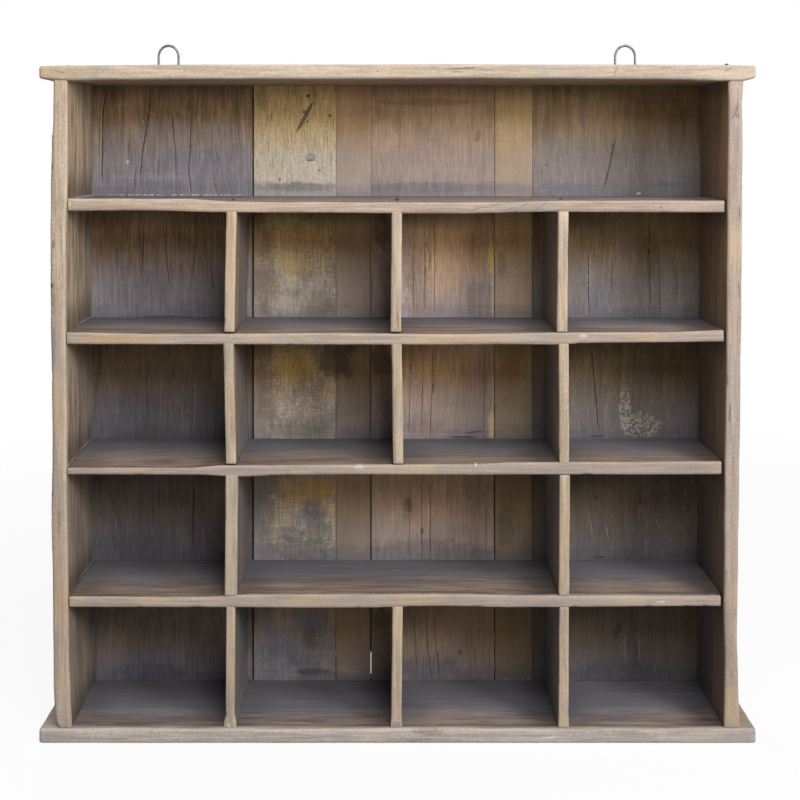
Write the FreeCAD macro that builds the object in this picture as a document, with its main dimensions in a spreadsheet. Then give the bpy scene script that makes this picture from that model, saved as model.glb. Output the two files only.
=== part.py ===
import FreeCAD, Part
import os

# Pigeonhole shelf of reclaimed boards, with two ring hangers at the rear of its top. Millimetres.
# +X runs along its width, -Y is the open front and +Z is up. The origin is the middle of the underside.

SIZES = {
    # Boards
    "overall_width": "720",
    "overall_depth": "120",
    "overall_height": "681",
    "board_thickness": "15",
    "side_thickness": "15",
    "shelf_thickness": "11.5",
    "divider_thickness": "10.5",
    "plank_thickness": "10",
    "board_overhang": "15.25",
    "side_setback": "2",
    "shelf_setback": "1",
    # Back planks from left to right. The sixth fills what is left
    "plank_1_width": "187.2",
    "plank_2_width": "90",
    "plank_3_width": "37.6",
    "plank_4_width": "134.8",
    "plank_5_width": "40.7",
    "plank_gap": "0.6",
    # Worn edges
    "board_round": "2.5",
    "side_round": "1.5",
    "shelf_round": "1.2",
    "divider_round": "1.2",
    "plank_round": "0.6",
    # Wire nails for the boards, and shorter ones for the planks
    "nail_length": "38",
    "nail_diameter": "2",
    "nail_head_diameter": "4",
    "nail_head_thickness": "0.9",
    "nail_point": "3",
    "pin_length": "30",
    "pin_diameter": "1.6",
    "pin_head_diameter": "3.6",
    "pin_head_thickness": "0.8",
    "pin_point": "2.4",
    "nail_clearance": "0.05",
    "nail_front_inset": "27",
    "nail_back_inset": "40",
    "nail_lift": "1.8",
    "cut_overrun": "1",
    # Ring hangers
    "hanger_inset": "108",
    "strap_thickness": "1",
    "strap_width": "10",
    "screw_drop": "6",
    "screw_length": "14",
    "screw_diameter": "3.5",
    "screw_point": "4",
    "screw_head_diameter": "7",
    "screw_head_thickness": "2.2",
    "screw_slot_width": "1",
    "screw_slot_depth": "1.1",
    "screw_clearance": "0.05",
    "strap_hole_clearance": "0.25",
    "pivot_rise": "6",
    "pivot_clearance": "0.1",
    "ring_wire": "2.6",
    "ring_width": "24.6",
    "ring_height": "22",
    "ring_bend": "3",
}

ROWS = 5
CELLS = 4
SHELVES = ROWS - 1
CURL_ANGLE = 280
HALF_TURN = 180
QUARTER_TURN = 90

# Sizes that follow from the driving ones
DERIVED = {
    "case_width": "=overall_width - 2 * board_overhang",
    "inner_width": "=case_width - 2 * side_thickness",
    "cell_clear": f"=(inner_width - {CELLS - 1} * divider_thickness) / {CELLS}",
    "case_top": "=overall_height - board_thickness",
    "case_height": "=case_top - board_thickness",
    "row_clear": f"=(case_height - {SHELVES} * shelf_thickness) / {ROWS}",
    "front_edge": "=-overall_depth / 2",
    "back_edge": "=overall_depth / 2",
    "plank_front": "=back_edge - plank_thickness",
    "side_front": "=front_edge + side_setback",
    "shelf_front": "=side_front + shelf_setback",
    "side_depth": "=plank_front - side_front",
    "shelf_depth": "=plank_front - shelf_front",
    "side_middle": "=inner_width / 2 + side_thickness / 2",
    "row_pitch": "=row_clear + shelf_thickness",
    "nail_front": "=front_edge + nail_front_inset",
    "nail_back": "=back_edge - nail_back_inset",
    "hanger_offset": "=overall_width / 2 - hanger_inset",
    "ring_radius": "=ring_wire / 2",
    "ring_half": "=(ring_width - ring_wire) / 2",
    "curl_inner": "=ring_radius + pivot_clearance",
    "curl_outer": "=curl_inner + strap_thickness",
    "pivot_depth": "=back_edge + curl_outer",
    "pivot_level": "=overall_height + pivot_rise",
    "arch_level": "=pivot_level + ring_height - ring_radius - ring_half",
    "screw_level": "=overall_height - screw_drop",
    "strap_back": "=back_edge + strap_thickness",
}

X = FreeCAD.Vector(1, 0, 0)
Y = FreeCAD.Vector(0, 1, 0)
Z = FreeCAD.Vector(0, 0, 1)

doc = FreeCAD.newDocument("pigeonhole_shelf")
sheet = doc.addObject("Spreadsheet::Sheet", "Sizes")
nodes = {}
wood = {}
bores_in = {}
groups = {}


def fill_sheet():
    """Write every size into the sheet under its own alias."""
    for row, (alias, text) in enumerate([*SIZES.items(), *DERIVED.items()], start=1):
        sheet.set(f"A{row}", alias)
        sheet.set(f"B{row}", text)
        sheet.setAlias(f"B{row}", alias)
    doc.recompute()


def size(text):
    """The expression for a sum of sizes: each alias in it is read from the sheet."""
    words = text.replace("(", "( ").replace(")", " )").split()
    return " ".join(f"Sizes.{word}" if word in SIZES or word in DERIVED else word for word in words)


def bind(item, **sizes):
    """Tie properties of an object to sums of sizes."""
    for name, text in sizes.items():
        item.setExpression(name, size(text))
    return item


def place(item, x, y, z, rotation=None):
    """Put an object's origin at sums of sizes, turned by a rotation."""
    item.Placement = FreeCAD.Placement(FreeCAD.Vector(), rotation or FreeCAD.Rotation())
    for axis, text in zip("xyz", (x, y, z)):
        item.setExpression(f"Placement.Base.{axis}", size(text))
    return item


def box(name, length, width, height, x, y, z):
    """A block with its low corner at x, y, z."""
    item = doc.addObject("Part::Box", name)
    return place(bind(item, Length=length, Width=width, Height=height), x, y, z)


def rod(name, radius, height, x, y, z, along=Z):
    """A cylinder that starts at x, y, z and runs along a direction."""
    item = doc.addObject("Part::Cylinder", name)
    return place(bind(item, Radius=radius, Height=height), x, y, z, FreeCAD.Rotation(Z, along))


def bend(name, radius, angle, x, z, start, turn):
    """A stretch of bent wire in the ring's plane, from one direction of its centre towards another."""
    item = doc.addObject("Part::Torus", name)
    bind(item, Radius1=radius, Radius2="ring_radius")
    item.Angle3 = angle
    return place(item, x, "pivot_depth", z, FreeCAD.Rotation(start, turn, start.cross(turn), "ZXY"))


def fuse(name, pieces):
    """One solid out of pieces that meet."""
    item = doc.addObject("Part::MultiFuse", name)
    item.Shapes = pieces
    item.Refine = True
    return item


def cut(name, base, tools):
    """A piece with tools taken out of it."""
    gathered = doc.addObject("Part::Compound", f"{name}_bores")
    gathered.Links = tools
    item = doc.addObject("Part::Cut", name)
    item.Base = base
    item.Tool = gathered
    return item


def keep(name, item):
    """Name an object as one of the pieces that are written out."""
    item.Label = name
    nodes[name] = item


def board(name, extent, corner, edge):
    """A squared piece of wood with worn edges, from its extent and low corner on each axis."""
    body = doc.addObject("PartDesign::Body", f"{name}_wood")
    block = body.newObject("PartDesign::AdditiveBox", f"{name}_block")
    bind(block, Length=extent[0], Width=extent[1], Height=extent[2])
    place(block, *corner)
    worn = body.newObject("PartDesign::Fillet", f"{name}_worn")
    worn.Base = (block, ["Edge1"])
    worn.UseAllEdges = True
    bind(worn, Radius=edge)
    body.Tip = worn
    bores_in[name] = []
    return body


def fastener(kind):
    """One nail that points down from its head at the origin, and the hole that it is driven into."""
    length, point = f"{kind}_length", f"{kind}_point"
    radius, head = f"{kind}_diameter / 2", f"{kind}_head_diameter / 2"
    head_thickness = f"{kind}_head_thickness"
    top = rod(f"{kind}_head", head, head_thickness, "0", "0", f"- {head_thickness}")
    shank = rod(f"{kind}_shank", radius, f"{length} - {point} - {head_thickness}",
                "0", "0", f"{point} - {length}")
    tip = doc.addObject("Part::Cone", f"{kind}_tip")
    tip.Radius1 = 0
    bind(tip, Radius2=radius, Height=point)
    place(tip, "0", "0", f"- {length}")
    seat = rod(f"{kind}_seat", f"{head} + nail_clearance", f"{head_thickness} + cut_overrun",
               "0", "0", f"- {head_thickness}")
    hole = rod(f"{kind}_hole", f"{radius} + nail_clearance", f"{length} + nail_clearance",
               "0", "0", f"- {length} - nail_clearance")
    return fuse(f"{kind}_pattern", [top, shank, tip]), fuse(f"{kind}_bore_pattern", [seat, hole])


def copy_of(pattern, name, x, y, z, along):
    """A copy of a fastener, or of its hole, with its head at x, y, z and its point along a direction."""
    link = doc.addObject("App::Link", name)
    link.LinkedObject = pattern
    return place(link, x, y, z, FreeCAD.Rotation(-Z, along))


def drive(group, kind, x, y, z, along, pieces, lift=""):
    """Drive one fastener through pieces of wood: it joins its group, and each piece gets its hole."""
    name = f"{group}_{len(groups.setdefault(group, [])) + 1}"
    pattern, bore = patterns[kind]
    groups[group].append(copy_of(pattern, name, x, y, z + lift, along))
    hole = copy_of(bore, f"{name}_bore", x, y, z, along)
    for piece in pieces:
        bores_in[piece].append(hole)


def row_floor(row):
    """The level that a row's dividers stand on. Rows count down from the top."""
    return f"board_thickness + {ROWS - row} * row_pitch"


def shelf_level(shelf):
    """The underside of a shelf. Shelves count down from the top."""
    return f"board_thickness + {ROWS - shelf} * row_clear + {SHELVES - shelf} * shelf_thickness"


def hanger_ring(name, middle):
    """A wire ring: a straight bar that the strap holds, two short bends, two legs and an arch."""
    corner = "( ring_half - ring_bend )"
    low, high = "pivot_level + ring_bend", "arch_level - pivot_level - ring_bend"
    return fuse(f"{name}_ring", [
        rod(f"{name}_bar", "ring_radius", f"2 * {corner}", f"{middle} - {corner}",
            "pivot_depth", "pivot_level", X),
        bend(f"{name}_right_bend", "ring_bend", QUARTER_TURN, f"{middle} + {corner}", low, -Z, X),
        bend(f"{name}_left_bend", "ring_bend", QUARTER_TURN, f"{middle} - {corner}", low, -X, -Z),
        rod(f"{name}_right_leg", "ring_radius", high, f"{middle} + ring_half", "pivot_depth", low),
        rod(f"{name}_left_leg", "ring_radius", high, f"{middle} - ring_half", "pivot_depth", low),
        bend(f"{name}_arch", "ring_half", HALF_TURN, middle, "arch_level", X, Z),
    ])


def hanger_strap(name, middle):
    """A flat strap with a rounded foot and a screw hole, rolled round the ring's bar at its top."""
    strip = box(f"{name}_strip", "strap_width", "strap_thickness", "pivot_level - screw_level",
                f"{middle} - strap_width / 2", "back_edge", "screw_level")
    foot = rod(f"{name}_foot", "strap_width / 2", "strap_thickness", middle, "back_edge", "screw_level", Y)
    curl = doc.addObject("Part::Cylinder", f"{name}_curl")
    bind(curl, Radius="curl_outer", Height="strap_width")
    curl.Angle = CURL_ANGLE
    place(curl, f"{middle} + strap_width / 2", "pivot_depth", "pivot_level",
          FreeCAD.Rotation(-Y, Z, -X, "ZXY"))
    eye = rod(f"{name}_eye", "curl_inner", "strap_width + 2 * cut_overrun",
              f"{middle} - strap_width / 2 - cut_overrun", "pivot_depth", "pivot_level", X)
    hole = rod(f"{name}_hole", "screw_diameter / 2 + strap_hole_clearance",
               "strap_thickness + 2 * cut_overrun", middle, "back_edge - cut_overrun", "screw_level", Y)
    blank = fuse(f"{name}_blank", [strip, foot, cut(f"{name}_roll", curl, [eye])])
    return cut(f"{name}_strap", blank, [hole])


def hanger_screw(name, middle):
    """A slotted screw through the strap, and its pilot hole in the rear edge of the top board."""
    head = rod(f"{name}_screw_head", "screw_head_diameter / 2", "screw_head_thickness",
               middle, "strap_back", "screw_level", Y)
    shank = rod(f"{name}_screw_shank", "screw_diameter / 2", "screw_length - screw_point",
                middle, "strap_back", "screw_level", -Y)
    tip = doc.addObject("Part::Cone", f"{name}_screw_tip")
    tip.Radius2 = 0
    bind(tip, Radius1="screw_diameter / 2", Height="screw_point")
    place(tip, middle, "strap_back - screw_length + screw_point", "screw_level", FreeCAD.Rotation(Z, -Y))
    slot = box(f"{name}_screw_slot", "screw_head_diameter + 2 * cut_overrun",
               "screw_slot_depth + cut_overrun", "screw_slot_width",
               f"{middle} - screw_head_diameter / 2 - cut_overrun",
               "strap_back + screw_head_thickness - screw_slot_depth", "screw_level - screw_slot_width / 2")
    pilot = rod(f"{name}_pilot", "screw_diameter / 2 + screw_clearance",
                "screw_length - strap_thickness + screw_clearance + cut_overrun",
                middle, "back_edge + cut_overrun", "screw_level", -Y)
    bores_in["top_board"].append(pilot)
    return cut(f"{name}_screw", fuse(f"{name}_screw_blank", [head, shank, tip]), [slot])


fill_sheet()
patterns = {kind: fastener(kind) for kind in ("nail", "pin")}

# Case: the top and bottom boards lie across the ends of the sides, and the shelves run between the sides
for name, level in (("bottom_board", "0"), ("top_board", "case_top")):
    wood[name] = board(name, ("overall_width", "overall_depth", "board_thickness"),
                       ("- overall_width / 2", "front_edge", level), "board_round")
for name, edge in (("left_side", "- case_width / 2"), ("right_side", "inner_width / 2")):
    wood[name] = board(name, ("side_thickness", "side_depth", "case_height"),
                       (edge, "side_front", "board_thickness"), "side_round")
for shelf in range(1, ROWS):
    name = f"shelf_{shelf}"
    wood[name] = board(name, ("inner_width", "shelf_depth", "shelf_thickness"),
                       ("- inner_width / 2", "shelf_front", shelf_level(shelf)), "shelf_round")

# Dividers: a short upright at each cell's edge below the top row, with one left out for a wide hole
SPLITS = ("left", "middle", "right")
SPLIT_ROWS = range(2, ROWS + 1)
WIDE_HOLE = (ROWS - 1, "middle")
for row in SPLIT_ROWS:
    for split in SPLITS:
        if (row, split) == WIDE_HOLE:
            continue
        before = SPLITS.index(split)
        edge = f"- inner_width / 2 + {before + 1} * cell_clear + {before} * divider_thickness"
        middle = f"{edge} + divider_thickness / 2"
        name = f"row_{row}_{split}_divider"
        wood[name] = board(name, ("divider_thickness", "shelf_depth", "row_clear"),
                           (edge, "shelf_front", row_floor(row)), "divider_round")
        below = "bottom_board" if row == ROWS else f"shelf_{row}"
        head = "0" if row == ROWS else shelf_level(row)
        for line in ("nail_front", "nail_back"):
            drive("divider_nails", "nail", middle, line, head, Z, (below, name))
            if row == SPLIT_ROWS[0]:
                drive("divider_nails", "nail", middle, line, row_floor(row - 1), -Z, ("shelf_1", name))

# Back: planks between the top and bottom boards, over the rear edges of the sides and shelves
PLANKS = 6
NARROW_PLANKS = (3, 5)
WIDE_NAIL_SHARES = (0.3, 0.7)
NARROW_NAIL_SHARES = (0.5,)
plank_start = "- case_width / 2"
for plank in range(1, PLANKS + 1):
    last = plank == PLANKS
    width = f"case_width / 2 - ( {plank_start} )" if last else f"plank_{plank}_width"
    name = f"back_plank_{plank}"
    wood[name] = board(name, (width, "plank_thickness", "case_height"),
                       (plank_start, "plank_front", "board_thickness"), "plank_round")
    for shelf in range(1, ROWS):
        level = f"{shelf_level(shelf)} + shelf_thickness / 2"
        for share in NARROW_NAIL_SHARES if plank in NARROW_PLANKS else WIDE_NAIL_SHARES:
            drive("back_nails", "pin", f"{plank_start} + {share} * ( {width} )", "back_edge", level, -Y,
                  (name, f"shelf_{shelf}"))
    plank_start = f"{plank_start} + {width} + plank_gap"

# Nails of the case. One at the right of the top was never driven home
for name, outward in (("left_side", "-"), ("right_side", "")):
    for line in ("nail_front", "nail_back"):
        proud = name == "right_side" and line == "nail_front"
        drive("top_nails", "nail", f"{outward} side_middle", line, "overall_height", -Z, ("top_board", name),
              " + nail_lift" if proud else "")
        drive("bottom_nails", "nail", f"{outward} side_middle", line, "0", Z, ("bottom_board", name))
        for shelf in range(1, ROWS):
            level = f"{shelf_level(shelf)} + shelf_thickness / 2"
            drive(f"{name}_nails", "nail", f"{outward} case_width / 2", line, level, X if outward else -X,
                  (name, f"shelf_{shelf}"))

# Hangers: a strap screwed to the rear edge of the top board, curled round the straight bar of a wire ring
for name, middle in (("left_hanger", "- hanger_offset"), ("right_hanger", "hanger_offset")):
    keep(f"{name}_ring", hanger_ring(name, middle))
    keep(f"{name}_strap", hanger_strap(name, middle))
    keep(f"{name}_screw", hanger_screw(name, middle))

# Pieces of wood with their holes, and the fasteners in groups
for name, body in wood.items():
    keep(name, cut(name, body, bores_in[name]))
for name, links in groups.items():
    group = doc.addObject("Part::Compound", name)
    group.Links = links
    keep(name, group)

doc.recompute()
failed = [item.Name for item in doc.Objects if "Invalid" in item.State or "Error" in item.State]
failed += [name for name, item in nodes.items() if item.Shape.isNull() or not item.Shape.isValid()]
if failed:
    raise RuntimeError(f"failed: {failed}")

os.makedirs("parts", exist_ok=True)
for name, item in nodes.items():
    item.Shape.exportStep(f"parts/{name}.step")
print(f"{len(nodes)} pieces, overall height {sheet.get('overall_height')}")
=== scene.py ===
"""Looks of a wall shelf with pigeonholes, made of reclaimed boards and hung by two wire rings.

The boards replace the plain solids of the frame. Each is a fine grid of faces that is bent, worn, cracked and
chipped, and its finish is made of nodes that read Object coordinates and a few values painted on its points.
"""

import logging
import math
from dataclasses import dataclass, field
from enum import Enum
from typing import Callable, Iterable, Sequence, Union

import bmesh
import bpy
from mathutils import Matrix, Vector, noise


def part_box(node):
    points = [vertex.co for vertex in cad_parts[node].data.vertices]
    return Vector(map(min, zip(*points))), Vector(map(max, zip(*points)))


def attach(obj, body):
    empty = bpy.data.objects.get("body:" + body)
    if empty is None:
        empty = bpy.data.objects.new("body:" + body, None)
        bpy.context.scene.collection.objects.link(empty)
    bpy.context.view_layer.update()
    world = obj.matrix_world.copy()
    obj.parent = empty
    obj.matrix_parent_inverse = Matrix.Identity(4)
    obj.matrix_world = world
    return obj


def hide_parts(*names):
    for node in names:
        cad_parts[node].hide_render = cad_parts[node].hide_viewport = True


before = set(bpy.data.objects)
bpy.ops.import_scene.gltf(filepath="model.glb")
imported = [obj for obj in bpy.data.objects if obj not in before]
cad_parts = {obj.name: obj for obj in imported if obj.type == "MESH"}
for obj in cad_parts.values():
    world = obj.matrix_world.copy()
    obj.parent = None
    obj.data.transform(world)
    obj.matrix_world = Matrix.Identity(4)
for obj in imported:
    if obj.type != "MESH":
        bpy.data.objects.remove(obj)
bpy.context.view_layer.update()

LOG = logging.getLogger("shelf")
MM = 0.001

Colour = tuple[float, float, float]
Point = tuple[float, float]


# The photograph's frame, and what it says of the camera
IMAGE = 800
HORIZON = 153.6
VANISHING = 390.0
EYE = Vector((-7.5, -1255.0, 591.5))
FOCUS = 1193.0
PLANK_FACE = 50.0
BOARD_FRONT = -57.5

# The rows of holes and the sides, in mm
FLOOR = 15.0
PITCH = 132.5
ROWS = 5
SIDE_FACE = 329.75
SIDE_THICK = 15.0


class Axis(Enum):
    """A direction along which a board's grain runs."""

    X = 0
    Y = 1
    Z = 2


class Plane(Enum):
    """The two axes of the face on which a mark lies."""

    FRONT = (0, 2)
    FLOOR = (0, 1)
    SIDE = (1, 2)


def tone(red: float, green: float, blue: float) -> Colour:
    """A display colour of 0 to 255 as the linear colour that a shader takes."""
    def linear(level: float) -> float:
        share = level / 255.0
        return share / 12.92 if share <= 0.04045 else ((share + 0.055) / 1.055) ** 2.4
    return linear(red), linear(green), linear(blue)


def smooth(value: float, start: float, end: float) -> float:
    """How far a value has come from start to end, eased at both ends."""
    share = min(max((value - start) / (end - start), 0.0), 1.0)
    return share * share * (3.0 - 2.0 * share)


def wander(place: Vector, size: float, seed: float = 0.0) -> float:
    """Smooth noise of about -1 to 1 at a place in mm, whose lumps are of a size in mm."""
    return noise.noise(Vector((place.x / size + seed, place.y / size - seed, place.z / size + 2 * seed)))


def seen_at(column: float, row: float, depth: float) -> Point:
    """The point at a depth that a pixel of the photograph shows.

    Args:
        column: the pixel's column.
        row: the pixel's row.
        depth: y of the point in mm.

    Returns:
        x and z of the point in mm.
    """
    scale = (depth - EYE.y) / FOCUS
    return EYE.x + (column - VANISHING) * scale, EYE.z - (row - HORIZON) * scale


def on_planks(column: float, row: float) -> Point:
    """The point of the planks' face that a pixel shows."""
    return seen_at(column, row, PLANK_FACE)


def on_front(column: float, row: float) -> Point:
    """The point of the boards' front edges that a pixel shows."""
    return seen_at(column, row, BOARD_FRONT)


@dataclass(frozen=True)
class Line:
    """A line given point by point: values in mm at places in mm, with an eased run between them."""

    points: tuple[Point, ...]

    def at(self, place: float) -> float:
        """The line's value at a place."""
        before = self.points[0]
        if place <= before[0]:
            return before[1]
        for after in self.points[1:]:
            if place <= after[0]:
                return before[1] + (after[1] - before[1]) * smooth(place, before[0], after[0])
            before = after
        return before[1]


class Signal:
    """A value in a material. Python's operators on it add Math nodes."""

    def __init__(self, maker: "Maker", socket: bpy.types.NodeSocket) -> None:
        """Wraps a socket of the maker's material."""
        self.maker = maker
        self.socket = socket

    def _math(self, operation: str, *values: "Value") -> "Signal":
        """A Math node on the values in their order."""
        node = self.maker.node("ShaderNodeMath", {"operation": operation}, dict(enumerate(values)))
        return Signal(self.maker, node.outputs[0])

    def __add__(self, other: "Value") -> "Signal":
        """The sum."""
        return self._math("ADD", self, other)

    __radd__ = __add__

    def __sub__(self, other: "Value") -> "Signal":
        """The difference."""
        return self._math("SUBTRACT", self, other)

    def __rsub__(self, other: "Value") -> "Signal":
        """The difference from a number."""
        return self._math("SUBTRACT", other, self)

    def __mul__(self, other: "Value") -> "Signal":
        """The product."""
        return self._math("MULTIPLY", self, other)

    __rmul__ = __mul__

    def __pow__(self, other: "Value") -> "Signal":
        """The power."""
        return self._math("POWER", self, other)

    def __mod__(self, other: "Value") -> "Signal":
        """The rest after whole steps, for values above zero."""
        return self._math("FLOORED_MODULO", self, other)

    def most(self, other: "Value") -> "Signal":
        """The larger of two values."""
        return self._math("MAXIMUM", self, other)

    def rise(self, start: float, end: float, low: float = 0.0, high: float = 1.0) -> "Signal":
        """An eased run from low at start to high at end.

        Args:
            start: the value at which the run begins, which may be above its end.
            end: the value at which the run is over.
            low: the result before the run.
            high: the result after it.

        Returns:
            The eased value.
        """
        if start > end:
            start, end, low, high = end, start, high, low
        node = self.maker.node("ShaderNodeMapRange", {"interpolation_type": "SMOOTHSTEP"},
                               {0: self, 1: start, 2: end, 3: low, 4: high})
        return Signal(self.maker, node.outputs[0])


Value = Union[Signal, float, int]
Paint = Union[bpy.types.NodeSocket, Colour]


class Maker:
    """Makes the nodes of one material or of the world."""

    def __init__(self, name: str, world: bool = False) -> None:
        """Starts an empty material or world of that name."""
        self.owner = bpy.data.worlds.new(name) if world else bpy.data.materials.new(name)
        self.owner.use_nodes = True
        self.tree = self.owner.node_tree
        self.tree.nodes.clear()
        self._place: bpy.types.NodeSocket | None = None

    def node(self, kind: str, settings: dict[str, object] | None = None,
             inputs: dict[Union[str, int], object] | None = None) -> bpy.types.Node:
        """Any node, with its settings made first and then its sockets filled.

        Args:
            kind: the node's type.
            settings: its own properties by name.
            inputs: numbers, colours, signals or sockets by the input's name or index.

        Returns:
            The node.
        """
        made = self.tree.nodes.new(kind)
        for key, value in (settings or {}).items():
            setattr(made, key, value)
        for key, value in (inputs or {}).items():
            socket = made.inputs[key]
            if isinstance(value, Signal):
                self.tree.links.new(value.socket, socket)
            elif isinstance(value, bpy.types.NodeSocket):
                self.tree.links.new(value, socket)
            elif isinstance(value, tuple) and socket.type == "RGBA":
                socket.default_value = (*value[:3], 1.0)
            else:
                socket.default_value = value
        return made

    def signal(self, socket: bpy.types.NodeSocket) -> Signal:
        """A socket as a signal."""
        return Signal(self, socket)

    @property
    def place(self) -> bpy.types.NodeSocket:
        """Object coordinates in mm."""
        if self._place is None:
            where = self.node("ShaderNodeTexCoord").outputs["Object"]
            scaled = self.node("ShaderNodeVectorMath", {"operation": "SCALE"}, {0: where, "Scale": 1000.0})
            self._place = scaled.outputs[0]
        return self._place

    def axes(self) -> tuple[Signal, Signal, Signal]:
        """x, y and z in mm."""
        parts = self.node("ShaderNodeSeparateXYZ", None, {0: self.place}).outputs
        return self.signal(parts[0]), self.signal(parts[1]), self.signal(parts[2])

    def painted(self, name: str) -> Signal:
        """A value painted on the piece's points."""
        made = self.node("ShaderNodeAttribute", {"attribute_type": "GEOMETRY", "attribute_name": name})
        return self.signal(made.outputs["Fac"])

    def grain(self, along: Axis, long: float, across: float, detail: float = 3.0, bend: float = 0.0,
              rough: float = 0.55, shift: float = 0.0) -> Signal:
        """Noise drawn out along a board's grain.

        Args:
            along: the grain's direction.
            long: the length of its streaks in mm.
            across: their width in mm.
            detail: octaves of finer streaks.
            bend: how much the noise twists the streaks.
            rough: how strong the finer octaves are.
            shift: moves the pattern, so that two of one size differ.

        Returns:
            A value of about 0.2 to 0.8 around 0.5.
        """
        sizes = [across, across, across]
        sizes[along.value] = long
        drawn = self.node("ShaderNodeVectorMath", {"operation": "MULTIPLY_ADD"},
                          {0: self.place, 1: tuple(1.0 / size for size in sizes),
                           2: (shift, -shift, shift / 2)})
        made = self.node("ShaderNodeTexNoise", {"noise_dimensions": "3D"},
                         {"Vector": drawn.outputs[0], "Scale": 1.0, "Detail": detail, "Roughness": rough,
                          "Distortion": bend})
        return self.signal(made.outputs[0])

    def cloud(self, size: float, detail: float = 3.0, shift: float = 0.0) -> Signal:
        """Noise with lumps of one size in mm all ways."""
        return self.grain(Axis.X, size, size, detail, 0.0, 0.55, shift)

    def mix(self, first: Paint, second: Paint, share: Value) -> bpy.types.NodeSocket:
        """Two colours mixed.

        Args:
            first: the colour at a share of 0.
            second: the colour at a share of 1.
            share: a number or signal.

        Returns:
            The mixed colour's socket.
        """
        made = self.node("ShaderNodeMix", {"data_type": "RGBA", "clamp_factor": True},
                         {0: share, 6: first, 7: second})
        return made.outputs[2]

    def dim(self, colour: Paint, level: Value) -> bpy.types.NodeSocket:
        """A colour made darker or lighter by a factor."""
        made = self.node("ShaderNodeVectorMath", {"operation": "SCALE"}, {0: colour, "Scale": level})
        return made.outputs[0]

    def finish(self, colour: Paint, roughness: Value, height: Signal | None = None, strength: float = 0.3,
               depth: float = 0.0005, metallic: Value = 0.0, specular: float = 0.35) -> bpy.types.Material:
        """Puts the shader at the end of the nodes.

        Args:
            colour: the base colour.
            roughness: its roughness.
            height: the relief of its bump, if it has one.
            strength: how strong the bump is.
            depth: the relief's height in m.
            metallic: how much of a metal it is.
            specular: the level of its gloss.

        Returns:
            The finished material.
        """
        inputs: dict[Union[str, int], object] = {
            "Base Color": colour, "Roughness": roughness, "Metallic": metallic,
            "Specular IOR Level": specular}
        if height is not None:
            bump = self.node("ShaderNodeBump", None,
                             {"Strength": strength, "Distance": depth, "Height": height})
            inputs["Normal"] = bump.outputs[0]
        shader = self.node("ShaderNodeBsdfPrincipled", None, inputs)
        self.node("ShaderNodeOutputMaterial", None, {0: shader.outputs[0]})
        return self.owner


@dataclass(frozen=True)
class Spot:
    """A stain, chip or hole with a ragged edge: its middle, half its width and half its height, in mm."""

    middle: Point
    width: float
    height: float
    colour: Colour
    share: float = 0.8
    ragged: float = 0.5
    turn: float = 0.0
    broken: float = 0.0
    depth: float = 0.0
    plane: Plane = Plane.FRONT

    def far(self, place: Vector) -> float:
        """How far a place is from the middle, where 1 is the edge."""
        first, second = (place[axis] - self.middle[number] for number, axis in enumerate(self.plane.value))
        turn = math.radians(self.turn)
        across = (first * math.cos(turn) + second * math.sin(turn)) / self.width
        along = (second * math.cos(turn) - first * math.sin(turn)) / self.height
        return math.hypot(across, along)

    def lay(self, maker: Maker, base: Paint, axes: Sequence[Signal], edge: Signal, fine: Signal,
            grain: Signal, limit: Signal | float = 1.0) -> Paint:
        """Lays the spot over a colour.

        Args:
            maker: the material's maker.
            base: the colour below.
            axes: x, y and z in mm.
            edge: noise that frays the edge.
            fine: noise that breaks the spot up.
            grain: how light the grain is, which shows through broad spots.
            limit: where the spot may lie.

        Returns:
            The colour with the spot.
        """
        first, second = (axes[axis] - self.middle[number] for number, axis in enumerate(self.plane.value))
        turn = math.radians(self.turn)
        across = first * (math.cos(turn) / self.width) + second * (math.sin(turn) / self.width)
        along = second * (math.cos(turn) / self.height) - first * (math.sin(turn) / self.height)
        far = (across * across + along * along) ** 0.5 + (edge - 0.5) * (2.0 * self.ragged)
        soft = 0.15 + 0.3 * self.ragged
        mask = far.rise(1.0 + soft, 1.0 - soft) * limit * self.share
        if self.broken:
            mask = mask * fine.rise(0.44, 0.58, 1.0 - self.broken, 1.0)
        broad = min(self.width, self.height) > 3.0
        return maker.mix(base, maker.dim(self.colour, grain) if broad else self.colour, mask)


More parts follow.
